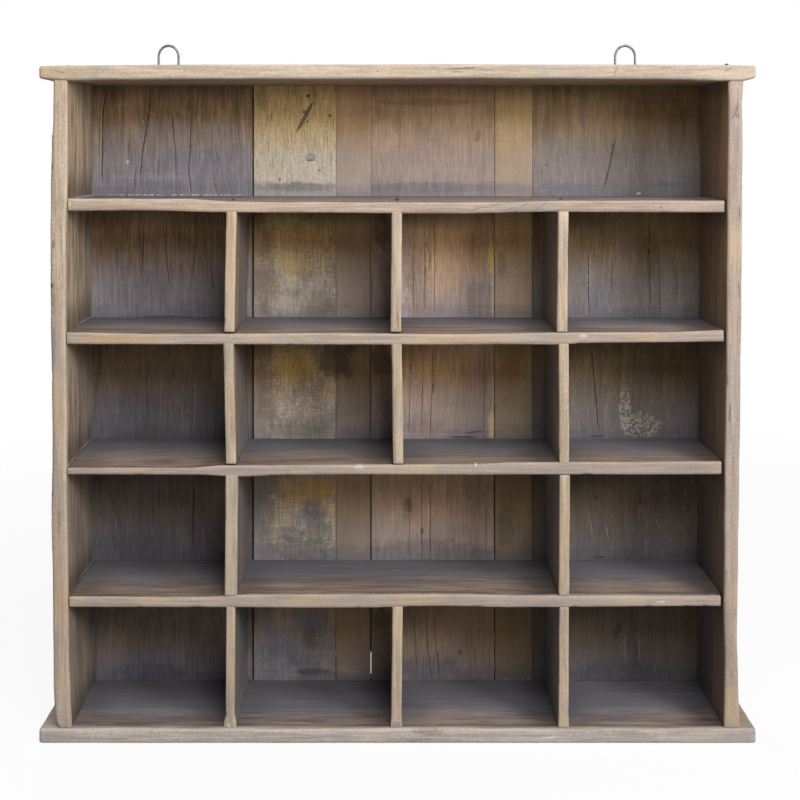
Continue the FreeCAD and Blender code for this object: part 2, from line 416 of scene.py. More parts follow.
@dataclass(frozen=True)
class BoardWood:
    """Boards with pale sanded front edges, dark stained insides and weathered outsides."""

    name: str
    along: Axis
    sanded: Colour = tone(216, 194, 170)
    sanded_dark: Colour = tone(180, 158, 136)
    stained: Colour = tone(154, 134, 119)
    stained_dark: Colour = tone(104, 91, 83)
    dusty: Colour = tone(117, 118, 127)
    weathered: Colour = tone(184, 164, 142)
    weathered_dark: Colour = tone(132, 114, 96)
    dust_front: float = -34.0
    dust_back: float = 10.0
    dust: float = 0.85
    low_dust_and_shade: float = 1.0
    ends: Point = (1.0, 1.0)
    cooled: float = 0.0
    spots: tuple[Spot, ...] = ()

    # In mm: the front from end to end, and the heights between which it cools and the insides gather dust and
    # darken with painted shade
    FRONT_SPAN = (-330.0, 330.0)
    COOL_SPAN = (545.0, 330.0)
    LOW_DUST_AND_SHADE_SPAN = (520.0, 90.0)

    def material(self) -> bpy.types.Material:
        """Mixes the three surfaces by the values painted on a board's points."""
        maker = Maker(self.name)
        axes = maker.axes()
        x, y, z = axes
        inside = maker.painted("inside")
        outer = maker.painted("outer")
        broad = maker.grain(self.along, 150.0, 12.0, detail=3.0, bend=0.6)
        streak = maker.grain(self.along, 46.0, 2.0, detail=4.0, bend=0.4, rough=0.62, shift=3.7)
        fibre = maker.grain(self.along, 12.0, 0.6, detail=2.0, bend=0.0, rough=0.5, shift=9.1)
        fleck = maker.grain(self.along, 4.6, 1.1, detail=2.0, bend=0.0, rough=0.6, shift=5.3)
        cloud = maker.cloud(38.0, detail=3.0, shift=1.9)
        patch = maker.cloud(95.0, detail=2.0, shift=4.3)
        fine = maker.cloud(1.5, detail=2.0, shift=7.9)
        pale = self._sanded(maker, broad, streak, fibre, fleck, fine)
        pale = maker.dim(pale, x.rise(*self.FRONT_SPAN, *self.ends))
        if self.cooled:
            pale = maker.mix(pale, tone(163, 158, 161), z.rise(*self.COOL_SPAN) * self.cooled)
        grey = cloud.rise(0.5, 0.68)
        pale = maker.mix(pale, tone(170, 160, 152), grey * 0.34)
        pale = maker.mix(pale, tone(222, 190, 146), patch.rise(0.52, 0.66) * 0.34)
        deep = maker.mix(self.stained_dark, self.stained,
                         ((streak - 0.5) * 1.4 + (broad - 0.5) * 1.1).rise(-0.24, 0.24))
        deep = maker.dim(deep, (fibre - 0.5) * 0.5 + (fine - 0.5) * 0.25 + 1.0)
        dust = (y + (cloud - 0.5) * 76.0 + (streak - 0.5) * 40.0).rise(self.dust_front, self.dust_back)
        film = maker.dim(self.dusty, (streak - 0.5) * 0.6 + (fine - 0.5) * 0.3 + 1.0)
        deep = maker.mix(deep, film, dust * self.dust)
        # Dustier and darker towards the bottom: dust together with painted shade
        if self.low_dust_and_shade < 1.0:
            low = z.rise(*self.LOW_DUST_AND_SHADE_SPAN)
            deep = maker.dim(maker.mix(deep, self.dusty, low * 0.4), low * (self.low_dust_and_shade - 1.0) + 1.0)
        # Painted shade beside the uprights, over the floors and under the shelves, from the painted shade
        # values
        deep = maker.dim(deep, 1.0 - maker.painted("shade"))
        worn = maker.mix(self.weathered_dark, self.weathered,
                         ((streak - 0.5) * 1.6 + (broad - 0.5) * 1.1).rise(-0.24, 0.24))
        worn = maker.dim(worn, (fibre - 0.5) * 0.5 + 1.0)
        worn = maker.mix(worn, tone(146, 141, 134), grey * 0.4)
        base = maker.mix(maker.mix(pale, deep, inside), worn, outer)
        edge = maker.cloud(5.0, detail=3.0, shift=2.3)
        grain = (streak - 0.5) * 0.7 + (fibre - 0.5) * 0.4 + (fine - 0.5) * 0.3 + 1.0
        front = y.rise(BOARD_FRONT + 9.0, BOARD_FRONT + 4.0)
        for spot in self.spots:
            base = spot.lay(maker, base, axes, edge, fine, grain,
                            front if spot.plane is Plane.FRONT else 1.0 - outer)
        relief = streak * 0.5 + fibre * 0.4 + fleck * 0.35
        return maker.finish(base, fibre * 0.2 + 0.66, relief, strength=0.35, depth=0.0006)

    def _sanded(self, maker: Maker, broad: Signal, streak: Signal, fibre: Signal, fleck: Signal,
                fine: Signal) -> Paint:
        """The sanded front: pale wood with fine flecks, lighter and darker."""
        level = (broad - 0.5) * 0.8 + (streak - 0.5) * 1.1 + (fine - 0.5) * 0.5
        pale = maker.mix(self.sanded_dark, self.sanded, level.rise(-0.24, 0.2))
        pale = maker.dim(pale, (fibre - 0.5) * 0.25 + (fine - 0.5) * 0.24 + 1.0)
        pale = maker.mix(pale, maker.dim(pale, 0.62), fleck.rise(0.38, 0.28) * 0.7)
        return maker.mix(pale, maker.dim(pale, 1.14), fleck.rise(0.58, 0.7) * 0.5)


@dataclass(frozen=True)
class PlankWood:
    """A reclaimed back plank: brown above, with a grey film of dust low in each hole."""

    name: str
    bright: Colour
    dark: Colour
    dusty: Colour
    film: float = 0.85
    coarse: float = 1.0
    rows: tuple[float, ...] = (1.0, 1.0, 1.0, 1.0, 1.0)
    greyed: float = 0.25
    cracked: float = 0.85
    specks: float = 0.0
    paint: Colour | None = None
    paint_low: Colour = (0.7, 0.65, 0.5)
    shades: tuple[float, ...] = (0.42, 0.4, 0.32, 0.38, 0.26)
    spots: tuple[Spot, ...] = ()

    # Heights in mm: what shows at the top of each row, where the painted shade under each shelf is darkest,
    # where the wood turns grey, how high the dust reaches from the lowest row to the highest, and the
    # darker bluish band along each floor
    TOPS = (668.0, 528.0, 384.0, 239.5, 95.0)
    GREY_SPAN = (420.0, 240.0)
    DUST_REACH = (20.0, 560.0, 32.0, 62.0)
    FLOOR_BAND = (20.0, 2.0)

    def material(self) -> bpy.types.Material:
        """Lays grain, dust, old paint, marks and scratches over each other."""
        maker = Maker(self.name)
        axes = maker.axes()
        x, _, z = axes
        crack = maker.painted("crack")
        scratch = maker.painted("scratch")
        broad = maker.grain(Axis.Z, 240.0, 12.0, detail=3.0, bend=0.5)
        streak = maker.grain(Axis.Z, 34.0, 1.7, detail=4.0, bend=0.5, rough=0.66, shift=4.1)
        fibre = maker.grain(Axis.Z, 11.0, 0.7, detail=2.0, bend=0.2, rough=0.5, shift=8.3)
        wiped = maker.grain(Axis.X, 60.0, 3.2, detail=3.0, bend=0.5, rough=0.6, shift=3.3)
        scuff = maker.grain(Axis.Z, 26.0, 2.0, detail=4.0, bend=0.5, rough=0.68, shift=6.6)
        cloud = maker.cloud(26.0, detail=5.0, shift=2.7)
        blotch = maker.cloud(70.0, detail=4.0, shift=9.4)
        fine = maker.cloud(1.4, detail=2.0, shift=6.1)
        grit = maker.cloud(2.6, detail=3.0, shift=1.7)
        level = ((broad - 0.5) * 0.7 + (streak - 0.5) * (0.9 * self.coarse) + (blotch - 0.5) * 0.8
                 + (grit - 0.5) * 0.25)
        wood = maker.mix(self.dark, self.bright, level.rise(-0.24, 0.24))
        wood = maker.dim(wood, (fibre - 0.5) * (0.7 * self.coarse) + (fine - 0.5) * 0.3 + 1.0)
        wood = maker.mix(wood, self.dusty, z.rise(*self.GREY_SPAN) * self.greyed)
        height = (z - FLOOR) % PITCH
        ragged = (cloud - 0.5) * 54.0 + (streak - 0.5) * (22.0 * self.coarse) + (wiped - 0.5) * 14.0
        film = (height + ragged - z.rise(*self.DUST_REACH)).rise(30.0, -30.0)
        level = ((streak - 0.5) * (0.55 * self.coarse) + (wiped - 0.5) * 0.2
                 + (fibre - 0.5) * (0.35 * self.coarse) + (fine - 0.5) * 0.3 + (cloud - 0.5) * 0.4 + 1.0)
        dust = maker.dim(self.dusty, level)
        wood = maker.mix(wood, dust, film * self.film)
        if self.paint is not None:
            wood = self._old_paint(maker, wood, x, z, film)
        # A darker bluish band along the foot of each hole
        foot = (height + (wiped - 0.5) * 14.0 + (cloud - 0.5) * 24.0).rise(*self.FLOOR_BAND)
        wood = maker.mix(wood, maker.dim(tone(124, 125, 137), (wiped - 0.5) * 0.6 + 1.0), foot * 0.5)
        edge = maker.cloud(6.0, detail=4.0, shift=3.9)
        grain = ((streak - 0.5) * self.coarse + (wiped - 0.5) * 0.3 + (fibre - 0.5) * 0.5
                 + (grit - 0.5) * 0.4 + 1.0)
        for spot in self.spots:
            wood = spot.lay(maker, wood, axes, edge, grit, grain)
        # Each row's lightness, partly painted shade on the lower rows, and the painted shade below each shelf
        wood = maker.dim(wood, self._row_light(z) * ((scuff - 0.5) * (1.3 * self.coarse) + 1.0))
        if self.specks:
            flecks = maker.grain(Axis.Z, 6.0, 1.8, detail=2.0, bend=0.0, rough=0.6, shift=7.7)
            flecks = flecks.rise(0.62, 0.7) * broad.rise(0.48, 0.56)
            wood = maker.mix(wood, tone(206, 198, 180), flecks * self.specks)
        pale = (scratch + (grit - 0.5) * 0.9).rise(0.3, 0.75)
        wood = maker.mix(wood, tone(200, 190, 172), pale * 0.62)
        wood = maker.mix(wood, tone(30, 25, 21), crack.rise(0.2, 0.8) * self.cracked)
        level = (streak - 0.5) * 0.8 + (broad - 0.5) * 1.1 + (cloud - 0.5) * 0.5
        rear = maker.mix(maker.dim(self.dark, 0.72), maker.mix(self.bright, tone(150, 142, 132), 0.55),
                         level.rise(-0.26, 0.26))
        rear = maker.dim(rear, (fibre - 0.5) * 0.5 + 1.0)
        wood = maker.mix(wood, rear, maker.painted("outer"))
        relief = streak * 0.6 + fibre * 0.4 + fine * 0.15 - crack * 0.6
        return maker.finish(wood, fibre * 0.2 + 0.64, relief, strength=0.3, depth=0.0006)

    def _row_light(self, z: Signal) -> Signal:
        """Lightness by row, partly painted shade on the lower rows, with painted shade below each shelf."""
        light: Signal | float = self.rows[-1]
        for number in range(1, len(self.rows)):
            shelf = FLOOR + PITCH * number
            light = z.rise(shelf - 9.0, shelf - 3.0) * (self.rows[-1 - number] - self.rows[-number]) + light
        for number, (top, shade) in enumerate(zip(self.TOPS, self.shades)):
            shelf = FLOOR + PITCH * (len(self.rows) - number)
            light = light * (1.0 - z.rise(top - 22.0, top) * z.rise(shelf - 4.0, shelf - 8.0) * shade)
        return light

    def _old_paint(self, maker: Maker, wood: Paint, x: Signal, z: Signal, film: Signal) -> Paint:
        """Remains of old paint: nearly whole in the top row, and rubbed along and across the grain below."""
        rubbed = maker.grain(Axis.Z, 9.0, 1.1, detail=3.0, bend=0.0, rough=0.65, shift=1.3)
        crossed = maker.grain(Axis.X, 11.0, 1.1, detail=3.0, bend=0.0, rough=0.65, shift=2.9)
        patch = maker.cloud(32.0, detail=4.0, shift=5.9)
        flecks = maker.cloud(3.0, detail=4.0, shift=8.8)
        whole = z.rise(538.0, 552.0)
        below = 1.0 - whole
        cover = whole * 0.60 + x.rise(-152.0, -118.0) * below * 0.26 + z.rise(90.0, 200.0) * 0.14 + 0.10
        loose = (rubbed - 0.5) * 0.6 + (crossed - 0.5) * below * 0.6 + (flecks - 0.5) * (whole * 0.4 + 0.5)
        left = (cover + loose + (patch - 0.5) * (below * 0.9 + 0.5)).rise(0.26, 0.6)
        coat = maker.mix(self.paint, self.paint_low, film)
        coat = maker.dim(coat, (rubbed - 0.5) * 0.5 + (flecks - 0.5) * (whole * 0.3 + 0.4)
                         + (crossed - 0.5) * below * 0.5 + 1.0)
        sawn = maker.grain(Axis.X, 34.0, 1.1, detail=2.0, bend=0.2, rough=0.5, shift=7.2)
        coat = maker.dim(coat, (sawn - 0.5) * 1.3 * z.rise(148.0, 156.0) * z.rise(270.0, 262.0) + 1.0)
        bare = maker.grain(Axis.Z, 26.0, 1.2, detail=3.0, bend=0.3, rough=0.6, shift=6.6).rise(0.54, 0.66)
        coat = maker.mix(coat, tone(142, 112, 62), bare * (0.75 - film * 0.3))
        return maker.mix(wood, coat, left * (whole * 0.2 + 0.75))


@dataclass(frozen=True)
class Metal:
    """Plain steel or iron that has dulled, with rubbed high places and specks of rust."""

    name: str
    bright: Colour
    dull: Colour
    rust: Colour
    rust_share: float
    roughness: float

    def material(self) -> bpy.types.Material:
        """Mixes bright metal, its dull skin and rust."""
        maker = Maker(self.name)
        skin = maker.cloud(2.4, detail=4.0, shift=1.1)
        spots = maker.cloud(0.9, detail=3.0, shift=4.4)
        scuff = maker.grain(Axis.X, 3.0, 0.25, detail=2.0, bend=0.0, rough=0.5, shift=2.2)
        colour = maker.mix(self.bright, self.dull, skin.rise(0.36, 0.62))
        rusty = (spots * 0.6 + skin * 0.4).rise(0.62 - self.rust_share * 0.2, 0.66 - self.rust_share * 0.1)
        colour = maker.mix(colour, self.rust, rusty * self.rust_share)
        rough = skin * 0.25 + scuff * 0.15 + self.roughness - 0.2
        metal = 1.0 - rusty * self.rust_share
        return maker.finish(colour, rough.most(rusty * 0.75), spots * 0.5 + scuff * 0.5,
                            strength=0.25, depth=0.0002, metallic=metal, specular=0.5)


@dataclass
class Workshop:
    """Makes a finished object out of a bmesh, and says what it stands for in the frame."""

    def hand_in(self, shape: bmesh.types.BMesh, name: str, nodes: Iterable[str], body: str, slot: str,
                material: bpy.types.Material, soft_angle: float = 40.0) -> bpy.types.Object:
        """Turns a bmesh into a piece of the object.

        Args:
            shape: the finished shape, which is used up.
            name: the piece's name.
            nodes: the nodes of the frame that it stands for.
            body: the body that it moves with.
            slot: the record's material slot, which is not used.
            material: its finish.
            soft_angle: edges flatter than this many degrees are shaded smooth.

        Returns:
            The piece.
        """
        for face in shape.faces:
            face.smooth = True
        limit = math.radians(soft_angle)
        for edge in shape.edges:
            edge.smooth = edge.calc_face_angle(0.0) < limit
        mesh = bpy.data.meshes.new(name)
        shape.to_mesh(mesh)
        shape.free()
        piece = bpy.data.objects.new(name, mesh)
        bpy.context.scene.collection.objects.link(piece)
        piece.data.materials.append(material)
        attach(piece, body)
        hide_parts(*nodes)
        LOG.info("%s: %d faces, for %s", name, len(mesh.polygons), ", ".join(nodes))
        return piece


@dataclass
class Board:
    """One board: a rounded box of fine faces, made in the place of a node of the frame."""

    node: str
    spacing: tuple[float, float, float]
    rounding: float
    segments: int = 3
    front_bias: float = 1.0
    low: Vector = field(init=False)
    high: Vector = field(init=False)

    def __post_init__(self) -> None:
        """Reads the node's box in mm."""
        low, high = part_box(self.node)
        self.low, self.high = low / MM, high / MM

    def shape(self) -> bmesh.types.BMesh:
        """The rounded box in mm as a grid, with its loops drawn towards the front by front_bias."""
        made = bmesh.new()
        size = self.high - self.low
        bmesh.ops.create_cube(made, size=1.0)
        bmesh.ops.scale(made, vec=size, verts=made.verts)
        bmesh.ops.translate(made, vec=(self.low + self.high) / 2, verts=made.verts)
        bmesh.ops.bevel(made, geom=made.edges[:], offset=self.rounding, offset_type="OFFSET",
                        affect="EDGES", segments=self.segments, profile=0.5, material=-1)
        for axis, step in enumerate(self.spacing):
            run = size[axis] - 2 * self.rounding
            edges = [edge for edge in made.edges
                     if abs(edge.verts[0].co[axis] - edge.verts[1].co[axis]) > 0.9 * run]
            cuts = max(int(round(run / step)) - 1, 1)
            bmesh.ops.subdivide_edges(made, edges=edges, cuts=cuts, use_grid_fill=True)
        if self.front_bias != 1.0:
            start, run = self.low.y + self.rounding, size.y - 2 * self.rounding
            for vert in made.verts:
                share = (vert.co.y - start) / run
                if 0.0 < share < 1.0:
                    vert.co.y = start + run * share ** self.front_bias
        for name in ("inside", "outer", "crack", "scratch", "shade"):
            made.verts.layers.float.new(name)
        return made

    def bend(self, made: bmesh.types.BMesh, move: Callable[[Vector], Vector]) -> None:
        """Moves every point by a function of its place in mm."""
        for vert in made.verts:
            vert.co += move(vert.co)

    def paint(self, made: bmesh.types.BMesh, name: str, value: Callable[[Vector, Vector], float]) -> None:
        """Paints a value on every point from its place in mm and its normal."""
        made.normal_update()
        layer = made.verts.layers.float[name]
        for vert in made.verts:
            vert[layer] = value(vert.co, vert.normal)

    @staticmethod
    def to_metres(made: bmesh.types.BMesh) -> bmesh.types.BMesh:
        """Scales the shape from mm to m."""
        bmesh.ops.scale(made, vec=(MM, MM, MM), verts=made.verts)
        return made


@dataclass
class Lean:
    """How the two sides lean and bow, in mm across at heights in mm, and what is fixed to them with them."""

    left_outer: Line = Line(((15, 5.5), (22, 1.9), (32, 0.1), (60, -0.6), (140, -1.3), (240, -2.7),
                             (300, -1.9), (370, -2.3), (430, -3.7), (540, -3.7), (600, -2.7), (625, -1.1),
                             (666, -0.7)))
    left_inner: Line = Line(((15, 2.2), (50, 0.8), (90, -1.0), (160, -1.3), (250, -2.9), (320, -2.5),
                             (400, -3.6), (520, -3.8), (545, -2.4), (600, -2.0), (666, -2.2)))
    right_outer: Line = Line(((15, -1.2), (60, -2.6), (110, -3.6), (180, -2.7), (260, -1.5), (350, -0.4),
                              (440, 0.7), (520, 1.5), (600, 1.9), (640, 1.6), (666, 2.7)))
    right_inner: Line = Line(((15, -1.6), (90, -0.8), (140, -1.8), (200, -1.2), (280, -0.8), (330, 0.2),
                              (380, 0.9), (480, 1.3), (560, 1.9), (640, 2.9), (666, 2.5)))

    # The lean fades out between these distances from the middle, in mm
    NEAR_SIDE = (230.0, 330.0)

    def at_side(self, name: str, share: float, height: float) -> float:
        """How far a point of a side moves across: share is 0 at its inner face and 1 at its outer face."""
        inner, outer = ((self.left_inner, self.left_outer) if name.startswith("left")
                        else (self.right_inner, self.right_outer))
        return inner.at(height) + (outer.at(height) - inner.at(height)) * share

    def behind(self, place: Vector) -> float:
        """How far a point of the planks behind the sides and the holes moves across."""
        share = (abs(place.x) - SIDE_FACE) / SIDE_THICK
        if share <= 0.0:
            return self.between(place)
        return self.at_side("left" if place.x < 0 else "right", min(share, 1.0), place.z)

    def between(self, place: Vector) -> float:
        """How far a point between the sides moves across, which is all of a side's lean only near it."""
        left = self.left_inner.at(place.z) * smooth(-place.x, *self.NEAR_SIDE)
        right = self.right_inner.at(place.z) * smooth(place.x, *self.NEAR_SIDE)
        return left + right


# The left faces of the uprights on each floor in mm along x, with the share of painted shade on their left
LEFT_SIDE = (-341.0, 0.0)
DIVIDED = ((-173.0, 0.3), (-5.5, 0.5), (162.0, 0.6), (329.0, 0.65))
FLOOR_STOPS = {"shelf_1": ((329.0, 0.5),), "shelf_2": DIVIDED, "shelf_3": DIVIDED, "bottom_board": DIVIDED,
               "shelf_4": ((-173.0, 0.3), (162.0, 0.65), (329.0, 0.65))}

# Where the painted shade begins and is darkest, in mm from an upright's left face, and its share on the right
SHADE_LEFT = (-54.0, -10.0)
SHADE_RIGHT = (56.0, 16.0)
SHADE_RIGHT_SHARE = 0.3
UNDER_UPRIGHT = 6.0

# Where the painted shade on the sides begins and is darkest, in mm over a floor, and its shares
SHADE_OVER_FLOOR = (38.0, 4.0)
SHADE_OVER_FLOOR_SHARE = 0.55
SHADE_UNDER_SHELF = (96.0, 116.0)
SHADE_UNDER_SHELF_SHARE = 0.45


def painted_corner_shade(name: str, place: Vector, normal: Vector) -> float:
    """The painted shade on a floor beside the uprights that stand on it, from 0 to 1."""
    if normal.z < 0.3 or name not in FLOOR_STOPS:
        return 0.0
    found = 0.0
    for stop, share in (LEFT_SIDE, *FLOOR_STOPS[name]):
        past = place.x - stop
        if past < UNDER_UPRIGHT:
            found = max(found, share * smooth(past, *SHADE_LEFT))
        else:
            found = max(found, SHADE_RIGHT_SHARE * smooth(past, *SHADE_RIGHT))
    return found * (1.0 - 0.55 * smooth(place.y, -40.0, 40.0))


def front_wear(place: Vector, low: Vector, high: Vector, across: int, radius: float, seed: float) -> Vector:
    """How much a board's front arrises are worn round at a place.

    Args:
        place: the point in mm.
        low: the board's lowest corner.
        high: its highest corner.
        across: the axis of the board's thickness.
        radius: the usual radius of a worn arris in mm.
        seed: makes boards differ.

    Returns:
        The move in mm.
    """
    depth = place.y - low.y
    chip = smooth(wander(place, 11.0, seed + 3.0), 0.32, 0.62) * 1.3
    worn = radius * (1.0 + 0.5 * wander(place, 60.0, seed)) + chip
    move = Vector((0.0, 0.0, 0.0))
    if depth >= worn:
        return move
    middle = (low[across] + high[across]) / 2
    half = (high[across] - low[across]) / 2
    rest = worn - depth
    cut = worn - math.sqrt(max(worn * worn - rest * rest, 0.0))
    share = (place[across] - middle) / half
    move[across] = -math.copysign(cut, share) * smooth(abs(share), 0.2, 1.0)
    return move


JOINT = tone(26, 21, 18)
GRIME = tone(74, 66, 60)
CHIP = tone(234, 228, 216)
BLUISH = tone(118, 122, 138)


@dataclass
class Case:
    """The top board, the bottom board and the two sides."""

    workshop: Workshop
    lean: Lean
    top_under: Line = Line(((-360, 0.6), (-330, -1.2), (-290, -0.4), (-150, 0.2), (0, 0.6), (160, 0.6),
                            (260, 0.0), (330, -1.6), (345, -1.8), (360, 0.8)))
    top_over: Line = Line(((-360, -1.4), (-330, -0.9), (-200, -0.3), (0, 0.0), (250, -0.2), (330, -0.6),
                           (360, -1.2)))
    grid: tuple[float, float, float] = (3.0, 3.0, 2.5)

    # In mm: where a flat board's ends are rough and rounded, the depth that stays plain, and where the
    # face that looks into the holes stops at the sides
    END_ROUGH = (340.0, 358.0)
    END_ROUND = (350.0, 358.0)
    PLAIN_DEPTH = 50.0
    HOLES_END = (334.0, 329.0)

    def build(self) -> None:
        """Builds the four boards."""
        self._flat_board("top_board", BoardWood(
            "case_wood_top", Axis.X, sanded=tone(226, 207, 184), sanded_dark=tone(194, 174, 151),
            stained=tone(172, 142, 112), stained_dark=tone(138, 113, 88), dust=0.3, ends=(1.0, 0.82),
            spots=(
                Spot(on_front(463, 68.5), 15, 0.9, GRIME, 0.6, 0.7, turn=4),
                Spot(on_front(457, 72), 7, 0.7, GRIME, 0.5, 0.8),
                Spot(on_front(485, 70), 8, 0.6, GRIME, 0.35, 0.8, turn=-5),
                Spot(on_front(60, 72), 5, 0.7, GRIME, 0.4, 0.6, turn=-10),
                Spot(on_front(615, 72), 0.5, 7, tone(150, 112, 84), 0.6, 0.3, turn=-18),
                Spot(on_front(665, 68), 9, 0.6, GRIME, 0.4, 0.8, turn=8),
                Spot(on_front(727, 70), 4, 1, GRIME, 0.4, 0.8, turn=20),
                Spot(on_front(378, 71.5), 0.9, 0.7, GRIME, 0.8, 0.2))).material(), top=True)
        self._flat_board("bottom_board", BoardWood(
            "case_wood_foot", Axis.X, sanded=tone(222, 210, 200), sanded_dark=tone(190, 178, 168),
            stained=tone(162, 143, 133), stained_dark=tone(110, 98, 92), dust_front=-45.0, dust_back=-6.0,
            ends=(1.05, 0.82), spots=(
                Spot(on_front(429, 731), 16, 3.4, tone(132, 122, 116), 0.45, 0.8),
                Spot(on_front(549, 736.5), 8.5, 1.2, CHIP, 0.7, 0.9, turn=4),
                Spot(on_front(420, 739), 14, 0.7, GRIME, 0.35, 0.7, turn=4),
                Spot(on_front(300, 737), 18, 0.8, GRIME, 0.3, 0.9),
                Spot(on_front(120, 738), 12, 0.8, GRIME, 0.3, 0.9),
                Spot((-252, -18), 40, 0.5, tone(176, 166, 156), 0.6, 0.25, turn=0.6, plane=Plane.FLOOR),
                Spot((262, 19), 64, 0.4, tone(186, 180, 176), 0.6, 0.2, plane=Plane.FLOOR),
                Spot((-90, -12), 60, 0.5, tone(70, 66, 66), 0.5, 0.3, plane=Plane.FLOOR),
                Spot((-317, -52), 12, 0.5, tone(206, 198, 188), 0.7, 0.3, plane=Plane.FLOOR))).material(),
                         top=False)
        nicks = tuple(Spot(on_front(52, row), 1.4, 2.6, GRIME, 0.75, 0.7)
                      for row in (137, 166, 286, 420, 451, 494, 548))
        floors = tuple(FLOOR + PITCH * row for row in reversed(range(ROWS)))
        dust = tuple(Spot((20, floor + 1), 32, 1.3, tone(186, 188, 198), 0.35, 0.6, plane=Plane.SIDE)
                     for floor in floors)
        dust += tuple(Spot((47, floor + 9), 4, 10, tone(184, 186, 196), 0.3, 0.9, plane=Plane.SIDE)
                      for floor in floors)
        self._side("left_side", BoardWood(
            "case_wood_left", Axis.Z, sanded=tone(226, 204, 180), sanded_dark=tone(190, 168, 146),
            stained=tone(206, 184, 158), stained_dark=tone(136, 116, 96), dusty=tone(158, 152, 150),
            dust_front=14.0, dust_back=60.0, dust=0.6, low_dust_and_shade=0.66, cooled=0.18,
            spots=nicks + dust + (
                Spot(on_front(53, 345), 2.6, 26, BLUISH, 0.45, 0.7),
                Spot(on_front(54, 244), 2, 5, GRIME, 0.4, 0.8),
                Spot(on_front(59, 520), 0.5, 12, GRIME, 0.5, 0.5),
                Spot(on_front(62, 600), 7, 12, tone(196, 160, 120), 0.35, 0.8),
                Spot(on_front(58, 105), 0.5, 6, GRIME, 0.45, 0.4, turn=-12),
                Spot(on_front(54, 300), 1.4, 16, GRIME, 0.35, 0.9))).material())
        self._side("right_side", BoardWood(
            "case_wood_right", Axis.Z, sanded=tone(196, 176, 162), sanded_dark=tone(168, 150, 136),
            stained=tone(176, 144, 112), stained_dark=tone(138, 112, 86), dust=0.3, low_dust_and_shade=0.6, spots=(
                Spot(on_front(736.4, 109.5), 0.6, 5.4, GRIME, 0.8, 0.25, turn=-16),
                Spot(on_front(733.4, 116), 0.6, 2.8, GRIME, 0.8, 0.25, turn=-40),
                Spot(on_front(737.2, 115.8), 0.6, 2.6, GRIME, 0.8, 0.25, turn=48),
                Spot(on_front(736.5, 110), 4, 8, BLUISH, 0.25, 0.6),
                Spot(on_front(739.4, 212), 0.7, 7, GRIME, 0.6, 0.4),
                Spot(on_front(739, 291), 0.8, 10, GRIME, 0.55, 0.5, turn=3),
                Spot(on_front(729.6, 413), 1, 10, GRIME, 0.6, 0.5, turn=-4),
                Spot(on_front(737, 140), 2.4, 12, BLUISH, 0.3, 0.8),
                Spot(on_front(735, 140), 16, 70, tone(150, 130, 118), 0.22, 0.8),
                Spot(on_front(727.5, 380), 0.9, 6, GRIME, 0.5, 0.6),
                Spot((-43, 646), 0.7, 18, tone(214, 186, 150), 0.75, 0.3, plane=Plane.SIDE))).material())

    def _flat_board(self, name: str, material: bpy.types.Material, top: bool) -> None:
        """The top or the bottom board, with its rounded and uneven edges."""
        board = Board(name, self.grid, rounding=2.8, segments=4)
        made = board.shape()
        middle = (board.low.z + board.high.z) / 2
        seed = 1.0 if top else 5.0

        def move(place: Vector) -> Vector:
            """Uneven faces and a wavy front."""
            lift = wander(place, 90.0, seed) * 0.35 + wander(place, 9.0, seed + 2) * 0.12
            if top:
                line = self.top_over if place.z > middle else self.top_under
                front = smooth(place.y, 20.0, -50.0)
                lift += line.at(place.x) * front
            out = wander(Vector((place.x, 0.0, place.z / 3)), 70.0, seed + 1) * 0.5
            rough = wander(place, 6.0, seed + 4) * 0.15
            end = wander(Vector((0.0, place.y, place.z)), 16.0, seed + 6) * 0.6
            end *= smooth(abs(place.x), *self.END_ROUGH)
            end -= 0.5 * smooth(abs(place.x), *self.END_ROUND)
            step = Vector((math.copysign(end, end * place.x), 0.4 + out * 0.6 + rough, lift))
            if place.z < middle and not top:
                step.z = abs(step.z) * 0.3
            if abs(place.y) < self.PLAIN_DEPTH:
                step.y = 0.0
            if place.y > self.PLAIN_DEPTH:
                step.y = -0.2
            return step

        board.bend(made, move)
        front = board.low.y

        def inside(place: Vector, normal: Vector) -> float:
            """The face that looks into the holes, between the sides."""
            facing = -normal.z if top else normal.z
            between = smooth(abs(place.x), *self.HOLES_END)
            return smooth(facing, 0.3, 0.9) * between * smooth(place.y, front + 2, front + 7)

        def outer(place: Vector, normal: Vector) -> float:
            """The faces that look away from the holes, and the ends."""
            return (1.0 - smooth(-normal.y, 0.0, 0.7)) * (1.0 - inside(place, normal)) * 0.85

        board.paint(made, "inside", inside)
        board.paint(made, "outer", outer)
        board.paint(made, "shade", lambda place, normal: painted_corner_shade(name, place, normal))
        self.workshop.hand_in(board.to_metres(made), f"{name}_wood", [name], "shelf", "case_wood", material)

    def _side(self, name: str, material: bpy.types.Material) -> None:
        """A side that leans and bows, with worn arrises."""
        board = Board(name, (2.5, 3.0, 3.0), rounding=1.2, segments=3, front_bias=1.35)
        made = board.shape()
        outward = -1.0 if name.startswith("left") else 1.0
        inner = board.high.x if outward < 0 else board.low.x
        thick = board.high.x - board.low.x
        seed = 11.0 if outward < 0 else 17.0

        def move(place: Vector) -> Vector:
            """The lean, the wavy arrises and the worn front."""
            share = (place.x - inner) * outward / thick
            step = front_wear(place, board.low, board.high, across=0, radius=1.8, seed=seed)
            step.x += self.lean.at_side(name, share, place.z)
            ripple = wander(Vector((0.0, place.y / 4, place.z)), 26.0, seed + share) * 0.28
            step.x += ripple * smooth(abs(share - 0.5), 0.2, 0.5)
            step.y += wander(place, 30.0, seed + 5) * 0.3 * smooth(place.y, board.low.y + 6, board.low.y)
            return step

        board.bend(made, move)

        def inside(place: Vector, normal: Vector) -> float:
            """The face that looks into the holes."""
            behind = smooth(place.y, board.low.y + 1.5, board.low.y + 6.0)
            return smooth(-normal.x * outward, 0.3, 0.9) * behind

        def outer(place: Vector, normal: Vector) -> float:
            """The face that looks away from the holes."""
            behind = smooth(place.y, board.low.y + 1.0, board.low.y + 7.0)
            return smooth(normal.x * outward, 0.2, 0.9) * behind * 0.8

